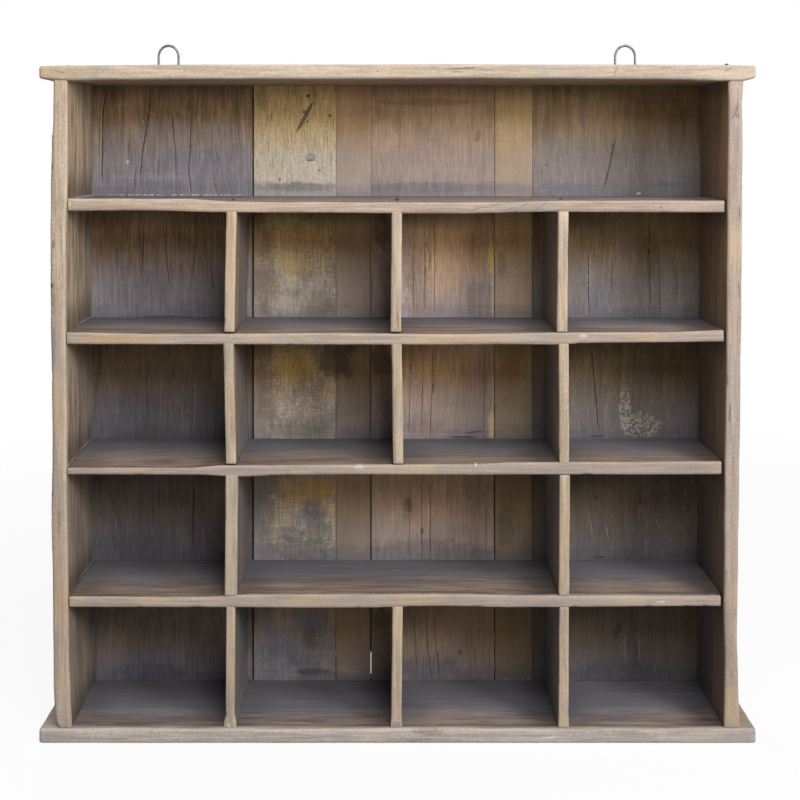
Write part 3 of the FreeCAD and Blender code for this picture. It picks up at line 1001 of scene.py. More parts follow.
        def shade(place: Vector, normal: Vector) -> float:
            """Painted shade over the floors on the left side, and under the shelves on the right one."""
            height = (place.z - FLOOR) % PITCH
            if outward < 0:
                return SHADE_OVER_FLOOR_SHARE * smooth(height, *SHADE_OVER_FLOOR)
            return SHADE_UNDER_SHELF_SHARE * smooth(height, *SHADE_UNDER_SHELF)

        board.paint(made, "inside", inside)
        board.paint(made, "outer", outer)
        board.paint(made, "shade", shade)
        self.workshop.hand_in(board.to_metres(made), f"{name}_wood", [name], "shelf", "case_wood", material)


@dataclass(frozen=True)
class ShelfLine:
    """How a shelf's front edge runs: its two arrises in mm above the plain board, along x in mm."""

    upper: Line
    lower: Line
    left_corner: float
    right_corner: float


@dataclass
class Shelves:
    """The four shelves between the sides."""

    workshop: Workshop
    lean: Lean
    lines: dict[str, ShelfLine] = field(default_factory=lambda: {
        "shelf_1": ShelfLine(
            Line(((-330, 1.2), (-215, 0.8), (-165, -1.8), (-120, -2.4), (100, -2.6), (180, -0.8),
                  (330, -0.8))),
            Line(((-330, 0.6), (-250, 0.8), (-180, -1.0), (60, -2.2), (150, -0.6), (330, -1.0))),
            left_corner=0.4, right_corner=2.4),
        "shelf_2": ShelfLine(
            Line(((-330, -0.8), (-230, -2.4), (-60, -1.8), (60, -2.6), (180, -0.8), (260, -0.8),
                  (330, 1.4))),
            Line(((-330, -1.0), (-60, -1.4), (150, -1.4), (200, 0.4), (330, 1.6))),
            left_corner=0.4, right_corner=2.4),
        "shelf_3": ShelfLine(
            Line(((-330, -4.6), (-215, -4.6), (-170, -2.2), (-60, -1.6), (60, -1.2), (120, 1.0),
                  (330, 1.8))),
            Line(((-330, 0.6), (-200, 0.2), (-160, -2.0), (-110, 0.4), (330, 0.6))),
            left_corner=0.2, right_corner=2.8),
        "shelf_4": ShelfLine(
            Line(((-330, -1.6), (-200, -2.0), (-140, 0.6), (60, 0.8), (140, -0.4), (330, -0.8))),
            Line(((-330, -0.2), (-200, -0.4), (-50, -1.0), (50, 0.8), (130, -0.4), (330, 0.8))),
            left_corner=0.6, right_corner=2.6),
    })

    def build(self) -> None:
        """Builds the shelves."""
        material = BoardWood(
            "shelf_wood", Axis.X, sanded=tone(208, 187, 168), sanded_dark=tone(174, 153, 134),
            ends=(1.16, 0.82), cooled=0.3,
            spots=(
                Spot(on_front(640, 601), 90, 9, tone(204, 186, 172), 0.35, 0.9),
                Spot(on_front(69.5, 204), 1.4, 2.6, CHIP, 0.8, 0.5),
                Spot(on_front(480, 208), 8, 0.45, GRIME, 0.5, 0.8, turn=12),
                Spot(on_front(495, 205), 7, 0.4, GRIME, 0.5, 0.8, turn=20),
                Spot(on_front(509, 209), 8, 0.5, GRIME, 0.5, 0.8, turn=16),
                Spot(on_front(523, 206), 7, 0.5, GRIME, 0.55, 0.8, turn=26),
                Spot(on_front(540, 207), 9, 0.6, GRIME, 0.55, 0.8, turn=30),
                Spot(on_front(553, 211), 10, 0.6, GRIME, 0.5, 0.8, turn=8),
                Spot(on_front(515, 203.5), 26, 0.5, GRIME, 0.3, 1, turn=2),
                Spot(on_front(530, 207), 34, 5, tone(176, 168, 162), 0.4, 0.8),
                Spot(on_front(120, 339), 38, 4, tone(214, 176, 124), 0.55, 0.8),
                Spot(on_front(480, 339), 40, 3, tone(206, 178, 150), 0.5, 0.8),
                Spot(on_front(583, 336), 4, 2, tone(222, 206, 196), 0.7, 0.6),
                Spot(on_front(646, 337), 20, 3, tone(212, 182, 128), 0.4, 0.8),
                Spot(on_front(359, 467), 6, 1.6, CHIP, 0.6, 0.9),
                Spot(on_front(476, 465), 1, 0.9, CHIP, 0.9, 0.3),
                Spot(on_front(661, 207), 0.8, 0.7, GRIME, 0.9, 0.2),
                Spot(on_front(660, 602), 5, 1, CHIP, 0.5, 0.9))).material()
        for number, (name, line) in enumerate(self.lines.items()):
            self._shelf(name, line, material, 21.0 + 3.0 * number)

    def _shelf(self, name: str, line: ShelfLine, material: bpy.types.Material, seed: float) -> None:
        """One shelf, with its uneven front edge, worn corners and rough faces."""
        board = Board(name, (3.0, 2.6, 2.4), rounding=0.8, segments=2, front_bias=1.5)
        made = board.shape()
        middle = (board.low.z + board.high.z) / 2

        def move(place: Vector) -> Vector:
            """The run of the front edge, the worn corners and the lean of the sides."""
            step = front_wear(place, board.low, board.high, across=2, radius=1.6, seed=seed)
            front = smooth(place.y, 0.0, -52.0)
            run = line.upper if place.z > middle else line.lower
            step.z += run.at(place.x) * front
            step.z += wander(place, 70.0, seed) * 0.3 + wander(place, 8.0, seed + 1) * 0.10
            depth = place.y - board.low.y
            worn = smooth(depth, 16.0, 0.0)
            if place.x > 0:
                step.x -= (0.6 + line.right_corner * worn) * smooth(place.x, 300.0, 329.0)
            else:
                step.x += (0.6 + line.left_corner * worn) * smooth(place.x, -300.0, -329.0)
            step.x += self.lean.between(place)
            step.y += (wander(Vector((place.x, 0.0, place.z / 2)), 45.0, seed + 2) * 0.4
                       + wander(place, 7.0, seed + 5) * 0.12) * smooth(depth, 8.0, 0.0)
            return step

        board.bend(made, move)

        def inside(place: Vector, normal: Vector) -> float:
            """All but the sanded front edge."""
            ragged = wander(place, 12.0, seed + 7) * 1.2
            return smooth(place.y + ragged, board.low.y + 1.2, board.low.y + 4.6)

        board.paint(made, "inside", inside)
        board.paint(made, "shade", lambda place, normal: painted_corner_shade(name, place, normal))
        self.workshop.hand_in(board.to_metres(made), f"{name}_wood", [name], "shelf", "shelf_wood",
                              material)


@dataclass(frozen=True)
class DividerLine:
    """How a divider stands: its shift across at the top and the foot, and its extra thickness, in mm."""

    top: float
    foot: float
    extra: float = 0.0
    flare: float = 0.0


@dataclass
class Dividers:
    """The upright dividers between the shelves."""

    workshop: Workshop
    lines: dict[str, DividerLine] = field(default_factory=lambda: {
        "row_2_left_divider": DividerLine(0.6, -1.6, -0.2),
        "row_2_middle_divider": DividerLine(-0.6, -1.6),
        "row_2_right_divider": DividerLine(-0.7, -2.1),
        "row_3_left_divider": DividerLine(-2.5, 0.2, -0.4),
        "row_3_middle_divider": DividerLine(-0.9, 0.8, -0.2),
        "row_3_right_divider": DividerLine(-0.4, 0.0, -0.5),
        "row_4_left_divider": DividerLine(0.9, 0.0, 1.8),
        "row_4_right_divider": DividerLine(0.7, -0.1),
        "row_5_left_divider": DividerLine(-0.2, -0.9, -1.8, 2.4),
        "row_5_middle_divider": DividerLine(0.1, -1.2, -0.2, 0.8),
        "row_5_right_divider": DividerLine(0.0, -0.6, -0.8, 0.6),
    })

    def build(self) -> None:
        """Builds the dividers."""
        material = BoardWood(
            "divider_wood", Axis.Z, sanded=tone(216, 195, 172), sanded_dark=tone(178, 158, 136),
            stained=tone(160, 139, 122), stained_dark=tone(116, 100, 87), dust=0.4, low_dust_and_shade=0.8, spots=(
                Spot(on_front(229, 727), 1.8, 3.4, CHIP, 0.8, 0.7),
                Spot(on_front(396.5, 725.5), 4.2, 3.6, tone(150, 146, 144), 0.7, 0.6),
                Spot(on_front(229, 395), 3.4, 14, tone(196, 176, 116), 0.4, 0.8),
                Spot(on_front(399, 388), 3, 12, tone(196, 180, 116), 0.45, 0.8),
                Spot(on_front(398, 320), 0.7, 8, GRIME, 0.5, 0.6),
                Spot(on_front(563, 300), 4, 14, tone(222, 190, 150), 0.4, 0.8),
                Spot(on_front(232, 430), 2.6, 14, tone(160, 128, 104), 0.4, 0.9))).material()
        for number, (name, line) in enumerate(self.lines.items()):
            self._divider(name, line, material, 41.0 + 2.0 * number)

    def _divider(self, name: str, line: DividerLine, material: bpy.types.Material, seed: float) -> None:
        """One divider, which leans a little and has worn arrises and a ragged foot."""
        board = Board(name, (2.2, 2.6, 2.6), rounding=0.7, segments=2, front_bias=1.5)
        made = board.shape()
        middle = (board.low.x + board.high.x) / 2
        half = (board.high.x - board.low.x) / 2

        def move(place: Vector) -> Vector:
            """The lean, the thickness and the worn front."""
            step = front_wear(place, board.low, board.high, across=0, radius=1.5, seed=seed)
            up = (place.z - board.low.z) / (board.high.z - board.low.z)
            share = (place.x - middle) / half
            step.x += line.foot + (line.top - line.foot) * up
            step.x += share * (line.extra / 2 + line.flare
                               * smooth(place.z, board.low.z + 16.0, board.low.z))
            step.x += share * wander(Vector((share * 3, place.y / 6, place.z)), 30.0, seed + 2) * 0.3
            depth = place.y - board.low.y
            step.y += (wander(Vector((0.0, share * 2, place.z)), 40.0, seed + 4) * 0.4
                       + wander(place, 7.0, seed + 5) * 0.12) * smooth(depth, 8.0, 0.0)
            return step

        board.bend(made, move)

        def inside(place: Vector, normal: Vector) -> float:
            """All but the sanded front edge."""
            ragged = wander(place, 12.0, seed + 7) * 1.2
            return smooth(place.y + ragged, board.low.y + 1.2, board.low.y + 4.6)

        board.paint(made, "inside", inside)
        self.workshop.hand_in(board.to_metres(made), f"{name}_wood", [name], "shelf", "divider_wood",
                              material)


@dataclass(frozen=True)
class Mark:
    """A crack or scratch on the planks: the photograph's pixels that it runs through, and its size in mm."""

    pixels: tuple[Point, ...]
    width: float = 0.5
    depth: float = 0.6

    # How a mark fades towards its ends, in mm
    FADE = (-3.0, 16.0)

    def across(self, height: float) -> tuple[float, float] | None:
        """Where the mark is at a height in mm, and how strong it is there, or None."""
        points = [on_planks(*pixel) for pixel in self.pixels]
        if not points[-1][1] <= height <= points[0][1]:
            return None
        for (x_0, z_0), (x_1, z_1) in zip(points, points[1:]):
            if z_1 <= height <= z_0:
                share = (z_0 - height) / max(z_0 - z_1, 1e-6)
                ends = min(points[0][1] - height, height - points[-1][1])
                return x_0 + (x_1 - x_0) * share, smooth(ends, *self.FADE)
        return None


def hairline(*pixels: Point) -> Mark:
    """A fine and shallow crack."""
    return Mark(pixels, 0.4, 0.3)


def scrape(*pixels: Point, width: float = 0.5) -> Mark:
    """A scratch that hardly cuts the wood."""
    return Mark(pixels, width, 0.1)


@dataclass(frozen=True)
class Joint:
    """Where two planks meet: its width and depth in mm by height, and the heights that let light through."""

    width: Line
    depth: Line
    slits: tuple[Point, ...] = ()

    # In mm: the gap between the solids, the depth to which edges meet, and where an edge ends: past the gap's
    # middle there, short of it behind that, and nearly plain in a slit
    GAP = 0.6
    BACK = 8.5
    OVERLAP = 0.12
    REAR = -0.3
    SLIT = -0.04

    def outward(self, place: Vector) -> float:
        """How far a plank's edge reaches towards the other plank at a place."""
        depth = place.y - PLANK_FACE
        if any(low <= place.z <= high for low, high in self.slits):
            return self.SLIT
        if depth < self.depth.at(place.z):
            return (self.GAP - self.width.at(place.z)) / 2
        return self.GAP / 2 + self.OVERLAP if depth < self.BACK else self.REAR


@dataclass
class BackPlanks:
    """The six upright planks behind the holes, with their joints, cracks, scratches and marks."""

    workshop: Workshop
    lean: Lean
    joints: tuple[Joint, ...] = (
        Joint(Line(((15, 1.6), (666, 1.6))), Line(((15, 7.0), (666, 7.0)))),
        Joint(Line(((15, 0.6), (540, 0.5), (548, 0.2))), Line(((15, 1.4), (666, 0.8)))),
        Joint(Line(((15, 1.5), (272, 1.4), (280, 0.8), (540, 0.7), (548, 0.25))),
              Line(((15, 7.0), (272, 7.0), (280, 3.4), (540, 3.4), (548, 0.8))), ((20.0, 44.0),)),
        Joint(Line(((15, 1.2), (272, 1.3), (280, 0.8), (540, 0.8), (548, 0.6))),
              Line(((15, 5.5), (272, 7.0), (280, 2.6), (540, 2.4), (548, 1.4))),
              ((26.5, 31.5), (49.0, 52.0), (55.5, 61.5))),
        Joint(Line(((15, 0.6), (540, 0.5), (548, 0.2))), Line(((15, 1.4), (666, 0.8)))))
    cracks: dict[str, tuple[Mark, ...]] = field(default_factory=lambda: {
        "back_plank_1": (
            Mark(((107.6, 90), (105.2, 106), (104.2, 117.7), (103.6, 186)), 0.8, 0.9),
            Mark(((151.6, 83), (150, 107.6), (146.6, 130), (143.2, 150), (140, 190)), 0.6, 0.8),
            Mark(((190.8, 110), (190.5, 134.6), (188.6, 172), (191.6, 197)), 0.6, 0.8),
            Mark(((170.2, 104), (172.7, 124.5), (175.6, 150), (176, 181)), 0.45),
            Mark(((214, 147), (217.5, 158.3), (219, 170)), 0.45),
            Mark(((212.6, 172), (214, 184), (218.4, 198)), 0.45),
            Mark(((241.2, 84), (241.5, 112)), 0.5), Mark(((94, 104), (93.3, 155), (94, 186)), 0.45, 0.4),
            hairline((131, 134), (129, 158)), hairline((159, 150), (157.6, 184)),
            hairline((138, 160), (134, 196)), hairline((198, 92), (194, 128)),
            Mark(((131, 214), (129.4, 248)), 0.45), Mark(((145.4, 220), (144.5, 253), (142.4, 280)), 0.5),
            Mark(((167.2, 214), (166.3, 249.5), (170, 290)), 0.5),
            Mark(((198, 225), (194.5, 255), (193, 282)), 0.5),
            hairline((156, 222), (153, 262)), hairline((180, 222), (178, 258)),
            hairline((210, 256), (214, 296)), hairline((120, 230), (119, 276)),
            hairline((112, 350), (114, 392)), hairline((150, 352), (146, 398)),
            hairline((176, 352), (172, 386)),
            Mark(((194, 480), (193, 534), (193.8, 558)), 0.7, 0.9),
            Mark(((116, 488), (120.6, 536)), 0.4, 0.4),
            hairline((161, 478), (158, 520)), hairline((176, 612), (174, 650)),
        ),
        "back_plank_4": (
            Mark(((413.2, 214), (413.2, 318)), 0.4, 0.5), Mark(((425, 214), (424, 318)), 0.45, 0.6),
            Mark(((434.5, 214), (434.5, 318)), 0.5, 0.6),
            Mark(((427.7, 243), (430.5, 255), (428.6, 268), (427.7, 277)), 0.9, 0.9),
            Mark(((411.4, 345), (409.5, 398), (408.6, 439)), 0.45, 0.6),
            Mark(((423.5, 345), (422.3, 388), (421.4, 439)), 0.45, 0.6),
            Mark(((432.6, 345), (431.9, 386), (429.5, 439)), 0.45, 0.6),
            Mark(((434.6, 345), (433.4, 400)), 0.4, 0.4),
            Mark(((485, 345), (484.4, 400), (483.6, 439)), 0.5, 0.5),
            Mark(((409.5, 474), (409, 559)), 0.45, 0.6), Mark(((421.3, 474), (421.7, 559)), 0.55, 0.7),
            Mark(((430.1, 474), (429.8, 559)), 0.6, 0.8), Mark(((485.6, 485), (486, 559)), 0.45, 0.5),
            Mark(((413.2, 607), (416, 669)), 0.4, 0.4),
            Mark(((425.4, 607), (427.3, 643), (431, 682)), 0.5, 0.7),
            Mark(((433.9, 607), (435.8, 643), (439.6, 682)), 0.5, 0.7),
            Mark(((450, 87), (434, 109)), 0.4, 0.2),
            Mark(((391, 99), (385, 110)), 0.4, 0.2),
        ),
        "back_plank_6": (
            Mark(((616, 133), (611, 158), (606, 180.6), (600, 194)), 0.6, 0.8),
            Mark(((588.2, 246), (588.7, 318)), 0.5, 0.6),
            Mark(((649, 214), (649.6, 314)), 0.5, 0.5), Mark(((659, 246), (659, 316)), 0.4, 0.4),
            Mark(((591, 345), (593.7, 377), (599, 436)), 0.6, 0.8),
            Mark(((640, 478), (642, 540)), 0.5, 0.5),
            hairline((612, 250), (611, 300)), hairline((676, 262), (675, 312)),
        ),
    })
    scratches: dict[str, tuple[Mark, ...]] = field(default_factory=lambda: {
        "back_plank_6": (
            scrape((633.3, 136), (629, 155), (624.7, 188), width=0.45),
            scrape((668, 150), (660, 164), width=0.4),
            scrape((600, 222), (595, 262)), scrape((646, 248), (643, 276)),
            scrape((608, 392), (604, 430)),
            scrape((587.5, 504), (594, 543)), scrape((604, 515), (610, 548)),
            scrape((638, 500), (643.6, 543), width=0.6), scrape((654.9, 508), (660.5, 537)),
            scrape((620, 505), (616, 520), width=0.45), scrape((677, 528), (678, 538), width=0.6),
            scrape((625, 629), (625.8, 668)), scrape((638, 628), (640.8, 668)),
            scrape((660, 625), (662, 640)),
        ),
        "back_plank_1": (
            scrape((180, 398), (183, 425), width=0.45), scrape((134, 256), (132, 300), width=0.45),
            scrape((114, 262), (113, 306)), scrape((196, 372), (194, 430), width=0.4),
        ),
    })

    def finishes(self) -> dict[str, PlankWood]:
        """The finish of each plank."""
        hole = tone(58, 50, 40)
        olive = tone(126, 112, 82)
        return {
            "back_plank_1": PlankWood(
                "plank_wood_1", tone(204, 172, 134), tone(148, 120, 88), tone(160, 157, 166),
                rows=(0.92, 1.04, 0.62, 0.55, 0.72), greyed=0.35, spots=(
                    Spot(on_planks(252.4, 448), 0.9, 262, JOINT, 0.9, 0.05),
                    Spot((-243, 546.3), 84, 0.8, CHIP, 0.85, 0.05, broken=1),
                    Spot(on_planks(222, 94), 9, 12, tone(168, 116, 88), 0.45, 0.7),
                    Spot(on_planks(206, 160), 30, 12, tone(152, 152, 164), 0.4, 0.8),
                    Spot(on_planks(170, 135), 70, 16, tone(200, 194, 198), 0.2, 0.8),
                    Spot(on_planks(150, 177), 36, 4, tone(182, 180, 184), 0.4, 0.8),
                    Spot(on_planks(127.6, 162), 1.4, 2.2, CHIP, 0.8, 0.5),
                    Spot(on_planks(143.4, 122), 1, 1.6, CHIP, 0.5, 0.6),
                    Spot(on_planks(113, 96), 12, 10, tone(124, 98, 70), 0.5, 0.8),
                    Spot(on_planks(128, 545), 36, 14, tone(126, 126, 146), 0.45, 0.8),
                    Spot(on_planks(150, 672), 40, 9, tone(120, 120, 142), 0.5, 0.8),
                    Spot(on_planks(165, 317), 30, 1.6, tone(88, 88, 98), 0.7, 0.7))),
            "back_plank_2": PlankWood(
                "plank_wood_2", tone(206, 172, 122), tone(158, 128, 88), tone(178, 168, 164),
                film=0.8, coarse=0.7, rows=(1.0, 1.15, 1.2, 0.9, 0.95), greyed=0.6,
                paint=tone(246, 214, 152), paint_low=tone(228, 216, 196),
                shades=(0.2, 0.6, 0.4, 0.0, 0.26), spots=(
                    Spot(on_planks(304.7, 117), 2, 19, tone(112, 102, 82), 0.9, 0.18, turn=-28.7,
                         depth=0.9),
                    Spot(on_planks(304.4, 112), 2.8, 2.2, tone(112, 102, 80), 0.8, 0.4, depth=0.4),
                    Spot(on_planks(308, 96), 1.8, 1.8, hole, 0.9, 0.25, depth=0.8),
                    Spot(on_planks(307.3, 121.6), 1.2, 1.2, hole, 0.8, 0.2),
                    Spot(on_planks(329.8, 115.5), 1.5, 2, tone(96, 96, 66), 0.85, 0.4),
                    Spot(on_planks(310.4, 157.3), 6, 4, tone(160, 158, 160), 0.55, 0.3, depth=0.8),
                    Spot(on_planks(310.4, 160.4), 4.6, 1.1, tone(96, 94, 98), 0.7, 0.4),
                    Spot(on_planks(319.6, 170.6), 1.6, 1.6, hole, 0.55, 0.5),
                    Spot(on_planks(279.8, 179.8), 1.2, 2.4, hole, 0.6, 0.5),
                    Spot(on_planks(296, 187), 42, 5, tone(134, 130, 132), 0.7, 0.8),
                    Spot(on_planks(252.9, 448), 0.9, 262, JOINT, 0.9, 0.05),
                    Spot(on_planks(265, 278), 12, 42, tone(128, 110, 92), 0.5, 0.8),
                    Spot(on_planks(265, 400), 12, 42, tone(130, 114, 98), 0.5, 0.8),
                    Spot(on_planks(305, 550), 38, 14, tone(112, 108, 110), 0.62, 0.9),
                    Spot(on_planks(305, 428), 32, 12, tone(136, 124, 108), 0.5, 0.7),
                    Spot(on_planks(296, 366), 18, 20, tone(240, 194, 96), 0.5, 0.7),
                    Spot(on_planks(308, 488), 28, 12, tone(240, 198, 116), 0.5, 0.7),
                    Spot(on_planks(294, 268), 16, 16, tone(240, 210, 144), 0.45, 0.8),
                    Spot(on_planks(300, 236), 30, 14, tone(206, 164, 84), 0.4, 0.8),
                    Spot(on_planks(320, 302), 14, 14, tone(126, 112, 98), 0.4, 0.8),
                    Spot(on_planks(295, 645), 44, 40, tone(150, 156, 178), 0.42, 0.8),
                    Spot(on_planks(262, 100), 6, 12, tone(150, 122, 76), 0.45, 0.9),
                    Spot(on_planks(334, 360), 18, 17, olive, 0.88, 0.55),
                    Spot(on_planks(310, 318), 22, 0.8, tone(70, 60, 50), 0.7, 0.5),
                    Spot(on_planks(262, 262), 8, 7, tone(234, 226, 206), 0.35, 1, broken=0.8),
                    Spot(on_planks(314, 513), 12, 15, tone(112, 114, 130), 0.65, 0.8, turn=10, broken=0.3),
                    Spot(on_planks(318, 532), 18, 10, tone(108, 108, 118), 0.5, 0.8),
                    Spot(on_planks(290, 282), 16, 9, tone(246, 232, 206), 0.45, 0.8),
                    Spot(on_planks(290, 533), 14, 8, tone(112, 112, 118), 0.5, 0.8),
                    Spot(on_planks(291, 517), 24, 9, tone(186, 190, 202), 0.5, 1, turn=-20, broken=0.8),
                    Spot(on_planks(264, 515), 13, 30, tone(142, 142, 148), 0.6, 0.7),
                    Spot(on_planks(318, 492), 14, 10, tone(222, 178, 96), 0.55, 0.8),
                    Spot(on_planks(275, 660), 26, 16, tone(128, 130, 148), 0.5, 0.8),
                    Spot(on_planks(315, 672), 20, 4, tone(92, 94, 104), 0.6, 0.8),
                    Spot(on_planks(310, 640), 8, 14, tone(118, 112, 96), 0.5, 0.7, turn=30))),
            "back_plank_3": PlankWood(
                "plank_wood_3", tone(226, 188, 142), tone(196, 158, 114), tone(192, 177, 168),
                film=0.85, coarse=0.35, rows=(1.02, 1.08, 0.8, 0.7, 0.85), greyed=0.2,
                shades=(0.25, 0.6, 0.35, 0.0, 0.26), spots=(
                    Spot(on_planks(334, 360), 18, 17, olive, 0.88, 0.55),
                    Spot(on_planks(349, 350), 6, 6, olive, 0.8, 0.7),
                    Spot(on_planks(347, 374), 5, 5, olive, 0.6, 0.7),
                    Spot(on_planks(343, 667.5), 7, 1.4, tone(206, 198, 182), 0.8, 0.7, broken=0.3),
                    Spot(on_planks(350, 671), 9, 1.3, tone(206, 198, 182), 0.8, 0.7, broken=0.3),
                    Spot(on_planks(345, 318), 8, 1, tone(78, 66, 54), 0.7, 0.5))),
            "back_plank_4": PlankWood(
                "plank_wood_4", tone(228, 190, 150), tone(188, 152, 114), tone(190, 173, 168),
                film=0.85, coarse=0.75, rows=(0.9, 1.25, 1.05, 0.98, 0.68), greyed=0.25, cracked=0.5,
                shades=(0.3, 0.6, 0.0, 0.1, 0.15), spots=(
                    Spot(on_planks(370.9, 583), 0.8, 136, JOINT, 0.85, 0.1),
                    Spot(on_planks(407, 262), 7, 40, tone(138, 124, 118), 0.4, 0.8),
                    # Painted shadow of the middle divider down the right end of the holes in rows 2 and 3,
                    # and painted shade at the top of the holes beside it in rows 2, 3 and 5
                    Spot(on_planks(386, 262), 9, 50, tone(106, 92, 76), 0.35, 0.7),
                    Spot(on_planks(386, 386), 9, 44, tone(104, 90, 76), 0.35, 0.7),
                    Spot(on_planks(382, 230), 11, 20, tone(60, 48, 36), 0.5, 0.7),
                    Spot(on_planks(382, 360), 11, 20, tone(58, 48, 38), 0.55, 0.7),
                    Spot(on_planks(382, 620), 11, 14, tone(60, 54, 46), 0.55, 0.7),
                    Spot(on_planks(419, 284), 13, 36, tone(132, 112, 100), 0.45, 0.8),
                    Spot(on_planks(449, 238), 18, 16, tone(246, 192, 116), 0.4, 0.9),
                    Spot(on_planks(477, 244), 14, 26, tone(190, 146, 82), 0.35, 0.9),
                    Spot(on_planks(435, 364), 36, 16, tone(252, 200, 132), 0.45, 0.9),
                    Spot(on_planks(420, 426), 16, 12, tone(146, 122, 106), 0.4, 0.8),
                    Spot(on_planks(420, 552), 70, 14, tone(112, 106, 110), 0.42, 0.8),
                    Spot(on_planks(479, 484), 20, 14, tone(110, 88, 60), 0.32, 1),
                    Spot(on_planks(422, 668), 38, 13, tone(96, 102, 122), 0.42, 0.9),
                    Spot(on_planks(491, 256), 3, 20, tone(250, 222, 122), 0.8, 0.6),
                    Spot(on_planks(492.6, 292), 1.3, 26, tone(240, 226, 184), 0.8, 0.5, broken=0.4),
                    Spot(on_planks(491.4, 424), 3.2, 16, tone(246, 228, 168), 0.8, 0.6),
                    Spot(on_planks(492.6, 392), 1.2, 22, tone(240, 224, 176), 0.7, 0.5, broken=0.4),
                    Spot(on_planks(408.5, 505), 3.6, 7, tone(92, 74, 58), 0.75, 0.6, turn=14),
                    Spot(on_planks(410, 508), 9, 15, tone(168, 136, 104), 0.45, 0.7),
                    Spot(on_planks(422, 531), 2, 4, tone(104, 88, 80), 0.6, 0.6),
                    Spot(on_planks(478, 136), 3, 6, tone(176, 122, 96), 0.55, 0.6, turn=-20),
                    Spot(on_planks(384, 137), 14, 18, tone(244, 212, 184), 0.35, 0.9),
                    Spot(on_planks(430, 102), 50, 4, tone(150, 118, 84), 0.4, 0.8),
                    Spot(on_planks(430, 188), 90, 5.5, tone(140, 138, 146), 0.6, 0.5),
                    Spot(on_planks(448, 318), 12, 0.9, tone(70, 60, 54), 0.7, 0.5),
                    Spot(on_planks(462, 437), 18, 1, tone(58, 54, 56), 0.75, 0.5),
                    Spot(on_planks(474, 432), 9, 0.8, tone(64, 58, 58), 0.6, 0.5, turn=8),
                    Spot(on_planks(460, 652), 2.6, 2.6, tone(90, 74, 66), 0.6, 0.6),
                    Spot(on_planks(445, 270), 24, 26, tone(238, 196, 150), 0.4, 0.9),
                    Spot(on_planks(478, 300), 14, 22, tone(138, 130, 126), 0.45, 0.9),
                    Spot(on_planks(440, 372), 24, 14, tone(226, 180, 120), 0.3, 0.9),
                    Spot(on_planks(384, 650), 10, 20, tone(150, 144, 134), 0.4, 1, broken=0.5),
                    Spot(on_planks(448, 625), 16, 12, tone(206, 172, 122), 0.35, 0.9))),
            "back_plank_5": PlankWood(
                "plank_wood_5", tone(238, 203, 146), tone(206, 170, 116), tone(196, 177, 160),
                film=0.8, coarse=0.35, rows=(0.9, 1.18, 0.85, 0.65, 0.55), greyed=0.2, spots=(
                    Spot((136, 17), 26, 0.8, CHIP, 0.8, 0.05, broken=1),
                    Spot(on_planks(509, 128), 12, 16, tone(240, 212, 166), 0.35, 0.9),
                    Spot(on_planks(512, 188), 26, 5, tone(136, 136, 150), 0.5, 0.6),
                    Spot(on_planks(502, 264), 5, 14, tone(138, 122, 100), 0.45, 0.8),
                    Spot(on_planks(514, 240), 12, 18, tone(214, 174, 96), 0.45, 0.9),
                    Spot(on_planks(514, 364), 13, 20, tone(206, 160, 88), 0.4, 0.9),
                    Spot(on_planks(506, 384), 12, 26, tone(190, 140, 104), 0.3, 0.9),
                    Spot(on_planks(505, 525), 8, 22, tone(120, 114, 112), 0.4, 0.9))),
            "back_plank_6": PlankWood(
                "plank_wood_6", tone(200, 168, 124), tone(152, 124, 86), tone(163, 156, 157),
                film=0.85, coarse=0.75, rows=(0.86, 0.8, 0.66, 0.53, 0.5), greyed=0.35, cracked=0.75,
                specks=0.55, spots=(
                    Spot(on_planks(625.5, 412), 7, 27, tone(240, 230, 214), 0.9, 0.35, turn=4, broken=1),
                    Spot(on_planks(641, 425), 20, 14, tone(240, 230, 214), 0.9, 0.4, broken=1),
                    Spot(on_planks(590, 284), 3, 28, tone(200, 200, 208), 0.6, 0.8, broken=0.9),
                    Spot(on_planks(596, 258), 5, 12, tone(184, 172, 148), 0.55, 0.9, broken=0.9),
                    Spot(on_planks(652, 264), 4, 14, tone(178, 168, 136), 0.55, 0.9, broken=0.9),
                    Spot(on_planks(610, 298), 3, 16, tone(196, 196, 202), 0.5, 0.9, broken=0.9),
                    Spot(on_planks(596, 302), 14, 14, tone(144, 148, 168), 0.4, 0.9),
                    Spot(on_planks(626, 384), 8, 6, tone(176, 162, 84), 0.6, 0.8, broken=0.5),
                    Spot(on_planks(546.5, 165), 1, 1, hole, 0.9, 0.2),
                    Spot(on_planks(638.7, 193.5), 2.6, 1.2, CHIP, 0.95, 0.4),
                    Spot(on_planks(640, 412.5), 2.4, 1.6, CHIP, 0.8, 0.6),
                    Spot(on_planks(596, 497.5), 1.2, 1.2, hole, 0.9, 0.3),
                    Spot(on_planks(646, 546), 3, 9, tone(190, 184, 178), 0.6, 0.8, turn=-14, broken=0.5),
                    Spot(on_planks(598, 436), 9, 0.7, tone(64, 60, 62), 0.7, 0.6),
                    Spot(on_planks(600, 557), 8, 0.7, tone(58, 56, 60), 0.7, 0.6),
                    Spot(on_planks(620, 668), 40, 10, tone(112, 114, 138), 0.45, 0.8),
                    Spot(on_planks(560, 188), 30, 6, tone(132, 132, 146), 0.5, 0.7),
                    Spot(on_planks(665, 186), 20, 6, tone(132, 130, 138), 0.4, 0.8),
                    Spot(on_planks(650, 98), 30, 9, tone(134, 108, 74), 0.4, 0.9),
                    Spot(on_planks(618, 630), 3, 9, tone(70, 62, 56), 0.5, 0.8, turn=-20),
                    Spot(on_planks(650, 255), 8, 26, tone(120, 98, 70), 0.4, 0.8))),
        }

    def build(self) -> None:
        """Builds the planks."""
        for number, (name, finish) in enumerate(self.finishes().items()):
            self._plank(name, finish, (None, *self.joints, None)[number:number + 2], 71.0 + 3.0 * number)

